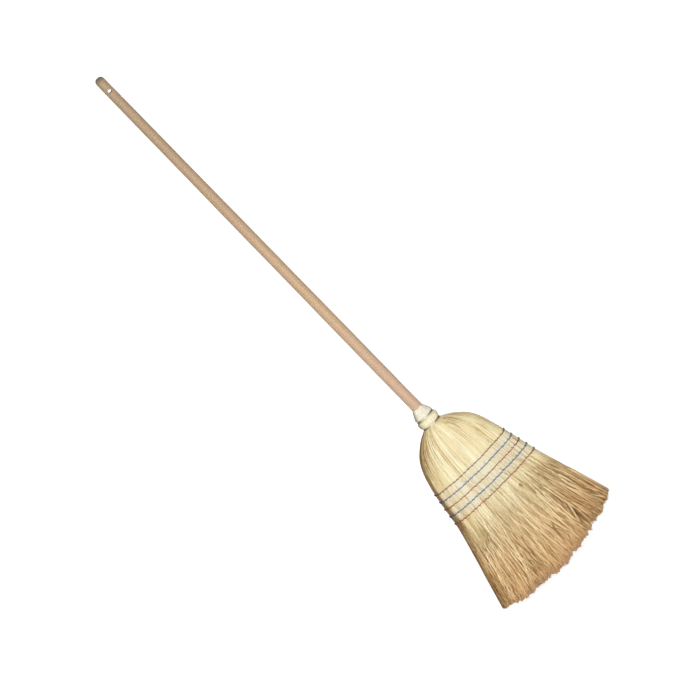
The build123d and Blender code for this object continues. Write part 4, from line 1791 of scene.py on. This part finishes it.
    def ended(self, strands: Strands, rng: Rng) -> tuple[Array, Array]:
        """Ends each straw at the trimmed edge less its ragged length, or before.

        The edge depends on the place across, and that on the drop, so both are found in a few rounds.

        Args:
            strands: The straws.
            rng: Source of numbers.

        Returns:
            Drop of each tip, and its turn.
        """
        form, lay, count = self.form, strands.lay, strands.lay.count
        stop = np.full(count, form.neck_height - 0.02)
        for _ in range(4):
            end_turn = self.gathered(strands, stop[:, None])
            tip_x = form.point(end_turn, stop[:, None], strands.depth[:, None])[:, 0, 0]
            stop = form.neck_height - form.trim_height(tip_x) + self.overhang
        end_turn = end_turn[:, 0] % 1.0
        ragged = lay.short + rng.exponential(lay.ragged, count)
        ragged = ragged + self.tufts.trimmed(end_turn) + self.wisps.trimmed(end_turn)
        stop = stop - np.minimum(ragged, self.most_ragged)
        stop = np.minimum(stop, form.neck_height - 0.0008)
        early = rng.random(count) >= lay.reaches_edge
        return np.where(early, np.minimum(stop, rng.uniform(*lay.stop, count)), stop), end_turn

    def lanes(self, strands: Strands, drop: Array, turns: Array, opened: Array, end_turn: Array,
              rng: Rng) -> Array:
        """Map places across, which are tones: a straw's own, its tuft's and wisp's, and the painted shade
        and light on it.

        Args:
            strands: The straws.
            drop: Drops, as straw x step.
            turns: Turns of the same shape.
            opened: How far they lie open in a parting.
            end_turn: Turn of each tip.
            rng: Source of numbers.

        Returns:
            Lanes, as straw x step.
        """
        loose = self.looseness(drop)
        under = np.maximum(strands.depth - strands.radius, 0.0)
        dim = np.minimum(self.depth_shade * under, self.deepest_shade)[:, None]
        tuft = self.tufts.nearest(strands.turn % 1.0)
        own = (rng.normal(*strands.lay.tone, len(end_turn)) + self.tufts.tone[tuft])[:, None]
        tipward = eased((loose - 0.70) / 0.30)
        wisp = self.wisp_gain * self.wisps.tone[self.wisps.nearest(end_turn)][:, None] * tipward
        near_end = 1.0 - eased((drop[:, -1:] - drop) / self.end_run)
        # Painted shade darkens the tone with depth, at sides and edges, in partings and near the neck;
        # painted light lifts it towards the tips and each straw's end.
        tones = own - dim * (1.0 - 0.7 * tipward) + self.tip_gain * tipward + wisp
        tones = tones + self.bands(turns, loose) - self.shade(turns, loose) - self.opening_shade * opened
        tones = tones - self.neck_shade * (1.0 - eased(drop / self.neck_shade_run))
        tones = tones + np.interp(loose, *self.fan_gain)
        tones = tones + self.end_gain * near_end * eased((loose - 0.5) / 0.2)
        return self.first_lane + self.lanes_width * np.clip(tones, 0.01, 0.99)

    def straws(self, lay: Lay, stretch: Pair, rng: Rng) -> Surface:
        """Lays one kind of straw in a stretch of the girth, along point(turn(drop), drop, inset(drop)).

        Its inset is its own depth, less the swell between rows, its lift towards the tips and its lap over
        the collar, plus a burial near a hidden upper end and a hollow in a parting. It is thinner at the
        neck and tapers over its lower half.

        Args:
            lay: The kind of straw.
            stretch: First and last turn.
            rng: Source of numbers.

        Returns:
            The straws as one surface.
        """
        strands = self.rooted(lay, stretch, rng)
        stop, end_turn = self.ended(strands, rng)
        drop = self.stations(lay, np.minimum(strands.start, stop - self.least_length), stop)
        turns = self.gathered(strands, drop)
        loose = self.looseness(drop)
        opened = lay.gives * self.opened(turns, drop)
        down = drop - drop[:, :1]
        lift = lay.lift * rng.random(lay.count)[:, None] * loose**1.5
        burial = lay.buried * (1.0 - eased(down / self.burial_run))
        bent = eased((drop - self.neck_start) / -self.neck_start)
        lap = self.neck_lap * bent * (1.0 - eased(drop / self.neck_lap_run)) - self.tucked * (1.0 - bent)
        inset = strands.depth[:, None] * (1.0 + self.loosening * loose)
        inset = inset - self.form.swell(turns, drop) - lift - lap + burial + self.hollow * opened
        narrow = lay.neck_share + (1.0 - lay.neck_share) * eased(drop / self.neck_narrow_run)
        taper = 1.0 - (1.0 - lay.tip) * eased((down / down[:, -1:] - 0.45) / 0.55)
        radii = strands.radius[:, None] * narrow * taper
        lanes = self.lanes(strands, drop, turns, opened, end_turn, rng)
        paths, across = self.form.line(turns, drop, inset)
        return tubes(paths, across, radii, lay.sides, lay.flat, lanes, self.runs(drop))

    def crossed(self) -> Surface:
        """Pale straws that lie straight across the wide parting, with both ends tucked in.

        Returns:
            The straws.
        """
        (turn, drop), (last_turn, last_drop) = np.array(self.crossings).transpose(1, 2, 0)[..., None]
        p = even_shares(7)
        turn = turn + (last_turn - turn) * p
        drop = drop + (last_drop - drop) * p
        inset = 0.0026 * (2.0 * p - 1.0) ** 4 - 0.0010
        radii = 0.0010 - 0.0002 * p
        lanes = 0.90 - 0.10 * p
        paths, across = self.form.line(turn, drop, inset)
        return tubes(paths, across, radii, 5, 0.8, lanes, self.runs(drop))

    def husk_bit(self) -> Surface:
        """A dark scrap of husk caught in the straw under the last seam: a flat spindle.

        Returns:
            The scrap.
        """
        p = even_shares(9)[None]
        turn = self.husk[0] + 0.0022 * p
        drop = self.husk[1] + 0.0105 * p
        radii = 0.0003 + 0.0026 * np.sin(math.pi * p)
        paths, across = self.form.line(turn, drop, -0.0012)
        return tubes(paths, across, radii, 7, 0.35, 0.12, self.runs(drop))

    def core(self) -> Surface:
        """Packed straw in the middle: the head's oval drawn in, streaked and furrowed along its length.

        Returns:
            The surface.
        """
        rng = np.random.default_rng(self.seed + 50)
        columns = self.core_columns
        drops = np.concatenate([np.linspace(0.001, 0.06, 16), np.linspace(0.07, 0.335, 24)])[::-1]
        thrice = np.tile(rng.random(columns), 3)
        furrow = np.convolve(thrice, [0.25, 0.5, 0.25], "same")[columns : 2 * columns]
        depth = self.core_depth + 0.011 * eased((drops - 0.19) / 0.14)[:, None]
        inset = depth + self.core_furrow * furrow * eased(drops / 0.03)[:, None]
        points = self.form.point(np.arange(columns) / columns, drops[:, None], inset)
        return wrapped(points, np.linspace(*self.core_tones, columns + 1), self.runs(drops))

    def bundle(self, name: str, surfaces: list[Surface], *nodes: str) -> None:
        """Places straws as one piece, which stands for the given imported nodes."""
        placed(name, Surface.joined(surfaces), self.finish, "straw", *nodes)

    def cover(self, face: Face, rng: Rng) -> None:
        """One cover: stems from the neck, then the loose straw and fine twigs at the edge.

        Args:
            face: Which broad face.
            rng: Source of numbers.
        """
        word, kinds = face.name.lower(), self.kinds
        begin, end = face.value
        bound = [self.straws(lay, face.value, rng) for lay in kinds.sewn()]
        for lay, (first, last), source in (
            (kinds.creases, self.crease_stretch, rng),
            (kinds.short_creases, self.short_crease_stretch, rng),
            (kinds.creases, self.more_crease_stretch, np.random.default_rng(self.seed + 10)),
        ):
            stretch = (begin + first * (end - begin), begin + last * (end - begin))
            bound.append(self.straws(lay, stretch, source))
        first, last = self.panel_stretch
        panel_rng = np.random.default_rng(self.seed + 9)
        bound.append(self.straws(kinds.panels, (end - first, end - last), panel_rng))
        loose = [self.straws(lay, face.value, rng) for lay in kinds.swept()]
        if face is Face.FRONT:
            loose += [self.crossed(), self.husk_bit()]
        self.bundle(f"{word}_stems", bound, f"{word}_cover_corn")
        self.bundle(f"{word}_loose_straw", loose, f"{word}_cover_sweep")

    def shoulder(self, side: str, stretch: Pair, rng: Rng) -> None:
        """One shoulder: straw under the covers at the end of the head.

        Args:
            side: Left or right.
            stretch: Its turns.
            rng: Source of numbers.
        """
        name = f"{side}_shoulder"
        straws = [self.straws(lay, stretch, rng) for lay in (self.shoulder_stems, self.shoulder_loose)]
        self.bundle(name, straws, f"{name}_corn", f"{name}_sweep")

    def inside(self, rng: Rng) -> None:
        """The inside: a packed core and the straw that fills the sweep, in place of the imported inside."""
        straws = [self.core(), self.straws(self.inside_loose, (0.0, 1.0), rng)]
        self.bundle("inside_straw", straws, "inside_corn", "inside_sweep")

    def build(self) -> None:
        """Lays every bundle."""
        for number, face in enumerate(Face, start=1):
            self.cover(face, np.random.default_rng(self.seed + number))
        for number, (side, stretch) in enumerate(self.shoulders, start=3):
            self.shoulder(side, stretch, np.random.default_rng(self.seed + number))
        self.inside(np.random.default_rng(self.seed + 5))


@dataclass
class SewnRows:
    """Rows of sewing twine round the head, their stitches and their knots.

    Each wave of a row's slack is a depth, a count of waves round the head and a shift with the drop.
    Spreads are the least and the most of what differs from stitch to stitch.
    """

    form: HeadForm
    finishes: dict[Dye, Material]
    dyes: tuple[Dye, ...] = (Dye.MADDER, Dye.BLUE, Dye.RED, Dye.BLUE, Dye.RED)
    seed: int = 70
    sides: int = 6
    seat: float = -0.0006
    ply_radius: float = 0.00056
    ply_offset: float = 0.00046
    twist: float = 0.0052
    steps_per_twist: int = 9
    slack_waves: tuple = ((0.00045, 7.0, 40.0), (0.0003, 19.0, 0.0))
    stitch_spacing: float = 0.0096
    stitch_radius: float = 0.00058
    stitch_reach: float = 0.0021
    stitch_drop: float = 0.0024
    stitch_depth: float = 0.0014
    stitch_bow: float = 0.0029
    stitch_thinning: float = 0.25
    place_spread: tuple = (0.35, 0.65)
    reach_spread: tuple = (0.7, 1.3)
    drop_spread: tuple = (0.8, 1.15)
    bow_spread: tuple = (0.92, 1.05)
    thread_ends: tuple = ((0.819, 0.157), (0.816, 0.17), (0.727, 0.175), (0.96, 0.133))
    end_length: float = 0.011
    end_lie: float = 0.005
    end_curl: float = 0.002
    end_rise: float = 0.0009
    end_sinking: float = 0.0006
    knot_turn: float = 0.5
    knot_steps: int = 73
    knot_sizes: tuple = (0.00062, 0.00088, 0.00085)
    knot_seat: float = 0.0014
    knot_radius: float = 0.00072
    tail_ways: tuple = ((0.0, 1.0, -0.6), (0.0, -1.0, -1.1))
    tail_steps: int = 6
    tail_length: float = 0.0075
    tail_radius: float = 0.0008
    tail_thinning: float = 0.45
    tail_rise: float = 0.0002

    def row_length(self, drop: float) -> float:
        """Length of a row, once round the head."""
        return float(self.form.girth(np.array(drop)))

    def round_head(self, drop: float, turn: Array, out: Array, down: Array) -> Array:
        """Places along a row, lifted out of the straw and moved down by small amounts."""
        return self.form.point(turn, drop + self.form.sag(turn) + down, self.seat - out)

    def plies(self, drop: float) -> Surface:
        """Two plies twisted round the row's line: line + offset * (cos(a) * outward + sin(a) * down).

        Args:
            drop: Drop of the row.

        Returns:
            Both plies.
        """
        twists = round(self.row_length(drop) / self.twist)
        share = even_shares(twists * self.steps_per_twist + 1)
        turn = self.knot_turn + share
        slack = np.zeros_like(turn)
        for depth, waves, shift in self.slack_waves:
            slack += depth * np.sin(FULL_TURN * waves * turn + shift * drop)
        angle = FULL_TURN * twists * share + np.array([[0.0], [math.pi]])
        down = self.ply_offset * np.sin(angle) + slack
        paths = self.round_head(drop, turn, self.ply_offset * np.cos(angle), down)
        lanes = np.array([[0.0], [0.5]])
        return tubes(paths, UPWARDS, self.ply_radius, self.sides, 1.0, lanes, share, 0.49)

    def stitches(self, drop: float, rng: Rng) -> Surface:
        """Short slanted stitches that come out of the straw, cross the row and go back in.

        Along a stitch, p from -1 to 1: it moves sideways and down with p, and stands out by 1 - p^2.

        Args:
            drop: Drop of the row.
            rng: Source of numbers.

        Returns:
            The stitches.
        """
        length = self.row_length(drop)
        count = int(length / self.stitch_spacing)
        middle = (np.arange(count) + rng.uniform(*self.place_spread, count)) / count
        p = np.linspace(-1.0, 1.0, 7)
        reach = self.stitch_reach * p / length * rng.uniform(*self.reach_spread, (count, 1))
        turn = middle[:, None] + reach
        down = self.stitch_drop * p * rng.uniform(*self.drop_spread, (count, 1))
        out = self.stitch_bow * (1.0 - p**2) * rng.uniform(*self.bow_spread, (count, 1)) - self.stitch_depth
        paths = self.round_head(drop, turn, out, down)
        across = self.form.across(turn, drop + self.form.sag(turn) + down, self.seat - out)
        radii = self.stitch_radius * (1.0 - self.stitch_thinning * p**2)
        runs = np.clip((middle - self.knot_turn) % 1.0, 0.01, 0.98)[:, None] + 0.008 * p
        lanes = rng.uniform(0.0, 0.6, (count, 1))
        return tubes(paths, across, radii, self.sides, 1.0, lanes, runs, 0.35)

    def loose_ends(self, rng: Rng) -> Surface:
        """Cut ends of twine left lying on the straw near the rows.

        Args:
            rng: Source of numbers.

        Returns:
            The ends.
        """
        p = even_shares(6)
        begin = np.array(self.thread_ends)
        drop = begin[:, 1:] + self.end_length * p
        curl = self.end_curl * np.sin(3.0 * p) * rng.uniform(-1.0, 1.0, (len(begin), 1))
        turn = begin[:, :1] + self.end_lie * p + curl
        paths = self.form.point(turn, drop, self.end_sinking * p - self.end_rise)
        across = self.form.across(turn, drop, 0.0)
        return tubes(paths, across, self.stitch_radius, self.sides, 1.0, 0.0, 0.2 + 0.04 * p, 0.35)

    def knot(self, drop: float) -> Surface:
        """An overhand knot on the left edge with two short tails.

        Its line is a trefoil, (sin t + 2 sin 2t, cos t - 2 cos 2t, -sin 3t), drawn tight and flattened.

        Args:
            drop: Drop of the row.

        Returns:
            The knot.
        """
        t = np.linspace(0.0, FULL_TURN, self.knot_steps)
        tall, long, deep = self.knot_sizes
        up = (np.sin(t) + 2.0 * np.sin(2.0 * t)) * tall
        along = (np.cos(t) - 2.0 * np.cos(2.0 * t)) * long
        inward = self.knot_seat + np.sin(3.0 * t) * deep
        seat = self.form.point(np.array(self.knot_turn), np.array(drop), np.array(self.seat))
        path = (seat + np.stack([inward, along, up], -1))[None]
        share = even_shares(self.tail_steps)
        tails = seat + np.array(self.tail_ways)[:, None] * self.tail_length * share[None, :, None]
        tails[..., 0] -= self.tail_rise * (1.0 - share)
        tail_radii = self.tail_radius * (1.0 - self.tail_thinning * share)
        loop_runs, tail_runs = 0.06 * t / FULL_TURN, 0.05 * share
        loops = tubes(path, OUTWARDS, self.knot_radius, self.sides + 1, 1.0, 0.0, loop_runs, 0.9)
        ends = tubes(tails, OUTWARDS, tail_radii, self.sides, 1.0, 0.0, tail_runs, 0.4)
        return Surface.joined([loops, ends])

    def build(self) -> None:
        """Sews every row and ties its knot."""
        for number, (drop, dye) in enumerate(zip(self.form.row_drops, self.dyes), start=1):
            rng = np.random.default_rng(self.seed + number)
            parts = [self.plies(drop), self.stitches(drop, rng)]
            if number == 1:
                parts.append(self.loose_ends(rng))
            surface = Surface.joined(parts)
            name = f"sewn_row_{number}"
            slot = "blue_twine" if dye is Dye.BLUE else "red_twine"
            placed(name, surface, self.finishes[dye], slot, f"twine_row_{number}")
            placed(f"row_knot_{number}", self.knot(drop), self.finishes[dye], slot)
        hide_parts("twine_knots")


@dataclass
class Studio:
    """Pale floor, soft light and the camera at the photograph's angle.

    Each lamp is a name, a place above the tips, a size and a power. All of them look at the head.
    """

    foot_level: float
    camera_side: float = -0.0165
    camera_distance: float = 24.0
    camera_height: float = 4.4
    aim_height: float = 0.631
    roll: float = math.radians(44.197)
    lens: float = 609.0
    ambient: float = 0.3
    lamps: tuple = (
        ("key", (-0.5, -3.0, 1.1), 1.0, 62.0),
        ("fill", (1.6, -2.6, 0.7), 1.6, 14.0),
        ("rear", (0.4, 3.0, 1.2), 1.4, 40.0),
    )
    lamp_aim: float = 0.5
    floor_columns: int = 96
    floor_rings: tuple = (0.001, 0.5, 1.0, 3.0, 9.0, 30.0)
    floor_gap: float = 0.0004
    floor_white: float = 0.86
    floor_seen_darker: float = 0.6
    floor_glow: float = 0.9
    floor_far_glow: float = 0.1
    floor_far_run: tuple = (1.8, 3.2)

    def floor(self) -> None:
        """A wide round floor under the tips."""
        columns = self.floor_columns
        flat = np.array(self.floor_rings)[:, None, None] * around(even_angles(columns))
        level = np.full((*flat.shape[:2], 1), self.foot_level - self.floor_gap)
        points = np.concatenate([flat, level], -1)[::-1]
        places_along = even_shares(len(self.floor_rings))
        surface = wrapped(points, even_shares(columns + 1), places_along)
        surface.corners = surface.corners[: -2 * columns]
        surface.starts = surface.starts[:-2]
        surface.places = surface.places[: -2 * columns]
        mesh = surface.mesh("floor")
        mesh.materials.append(self.floor_finish())
        floor = bpy.data.objects.new("floor", mesh)
        show(floor)
        floor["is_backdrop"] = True

    def floor_finish(self) -> Material:
        """White to the eye, and still darkened by the broom's shadow: a dim matt floor with a glow.

        Returns:
            The material.
        """
        material = bpy.data.materials.new("floor")
        material.use_nodes = True
        wiring = Wiring(material.node_tree)
        material.node_tree.nodes.clear()
        seen = self.seen(wiring)
        away = wiring.add("ShaderNodeVectorMath", operation="LENGTH")
        wiring.link(wiring.add("ShaderNodeTexCoord").outputs["Object"], away.inputs[0])
        far = wiring.rise(away.outputs["Value"], *self.floor_far_run)
        matt = wiring.add("ShaderNodeBsdfDiffuse")
        shade = wiring.minus(self.floor_white, wiring.times(seen, self.floor_seen_darker))
        wiring.link(shade, matt.inputs["Color"])
        bright = wiring.add("ShaderNodeEmission")
        glow = wiring.plus(self.floor_glow, wiring.times(far, self.floor_far_glow))
        wiring.link(wiring.times(seen, glow), bright.inputs["Strength"])
        both = wiring.add("ShaderNodeAddShader")
        wiring.link(matt.outputs[0], both.inputs[0])
        wiring.link(bright.outputs[0], both.inputs[1])
        wiring.link(both.outputs[0], wiring.add("ShaderNodeOutputMaterial").inputs["Surface"])
        return material

    @staticmethod
    def seen(wiring: Wiring) -> Socket:
        """1 for rays that show the background: from the camera, by gloss or through glass."""
        path = wiring.add("ShaderNodeLightPath")
        either = wiring.math("MAXIMUM", path.outputs["Is Camera Ray"], path.outputs["Is Glossy Ray"])
        return wiring.math("MAXIMUM", either, path.outputs["Is Transmission Ray"])

    def world(self) -> None:
        """White behind the broom, and a plain level of light from all round."""
        world = bpy.data.worlds.new("studio")
        world.use_nodes = True
        wiring = Wiring(world.node_tree)
        back = world.node_tree.nodes["Background"]
        back.inputs["Color"].default_value = (1.0, 1.0, 1.0, 1.0)
        strength = wiring.times(self.seen(wiring), 1.0 - self.ambient)
        wiring.link(wiring.plus(strength, self.ambient), back.inputs["Strength"])
        bpy.context.scene.world = world

    def lamp(self, name: str, place: tuple, size: float, power: float) -> None:
        """A square soft light that looks at the head.

        Args:
            name: Name of the lamp.
            place: Where it hangs, above the tips.
            size: Length of its sides.
            power: Its power in watts.
        """
        data = bpy.data.lights.new(name, "AREA")
        data.size, data.energy = size, power
        lamp = bpy.data.objects.new(name, data)
        lamp.location = Vector(place) + Vector((0.0, 0.0, self.foot_level))
        aim = Vector((0.0, 0.0, self.foot_level + self.lamp_aim)) - lamp.location
        lamp.rotation_mode = "QUATERNION"
        lamp.rotation_quaternion = aim.to_track_quat("-Z", "Y")
        show(lamp)

    def camera(self) -> None:
        """A far camera a little above the head, rolled so that the stick points to the upper left."""
        data = bpy.data.cameras.new("camera")
        data.sensor_width, data.lens = 36.0, self.lens
        data.clip_end = 100.0
        camera = bpy.data.objects.new("camera", data)
        place = Vector((self.camera_side, -self.camera_distance, self.foot_level + self.camera_height))
        ahead = (Vector((self.camera_side, 0.0, self.foot_level + self.aim_height)) - place).normalized()
        right = Vector((1.0, 0.0, 0.0))
        up = right.cross(ahead)
        turned_right = math.cos(self.roll) * right - math.sin(self.roll) * up
        turned_up = math.sin(self.roll) * right + math.cos(self.roll) * up
        basis = Matrix((turned_right, turned_up, -ahead)).transposed()
        camera.matrix_world = Matrix.Translation(place) @ basis.to_4x4()
        show(camera)
        bpy.context.scene.camera = camera

    def build(self) -> None:
        """Sets up the studio."""
        bpy.context.scene.view_settings.view_transform = "Standard"
        self.camera()
        self.floor()
        self.world()
        for lamp in self.lamps:
            self.lamp(*lamp)


def main() -> None:
    """Loads the frame, builds each sub-assembly and the studio."""
    logging.basicConfig(level=logging.INFO, format="%(name)s: %(message)s")
    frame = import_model()
    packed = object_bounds()
    foot_level, top_level = packed[0].z, packed[1].z
    effects = Effects()
    form = HeadForm(foot_level)
    Studio(foot_level).build()
    Stick(foot_level, BareWood(top_level).material(effects)).build()
    Collar(foot_level, PaleStalk().material(effects)).build()
    Binding(foot_level, DullWire().material(effects)).build(frame["nodes"]["binding_tacks"])
    StrawHead(form, DryStraw().material(effects)).build()
    SewnRows(form, {dye: TwistedTwine(dye).material(effects) for dye in Dye}).build()


if __name__ == "__main__":
    main()
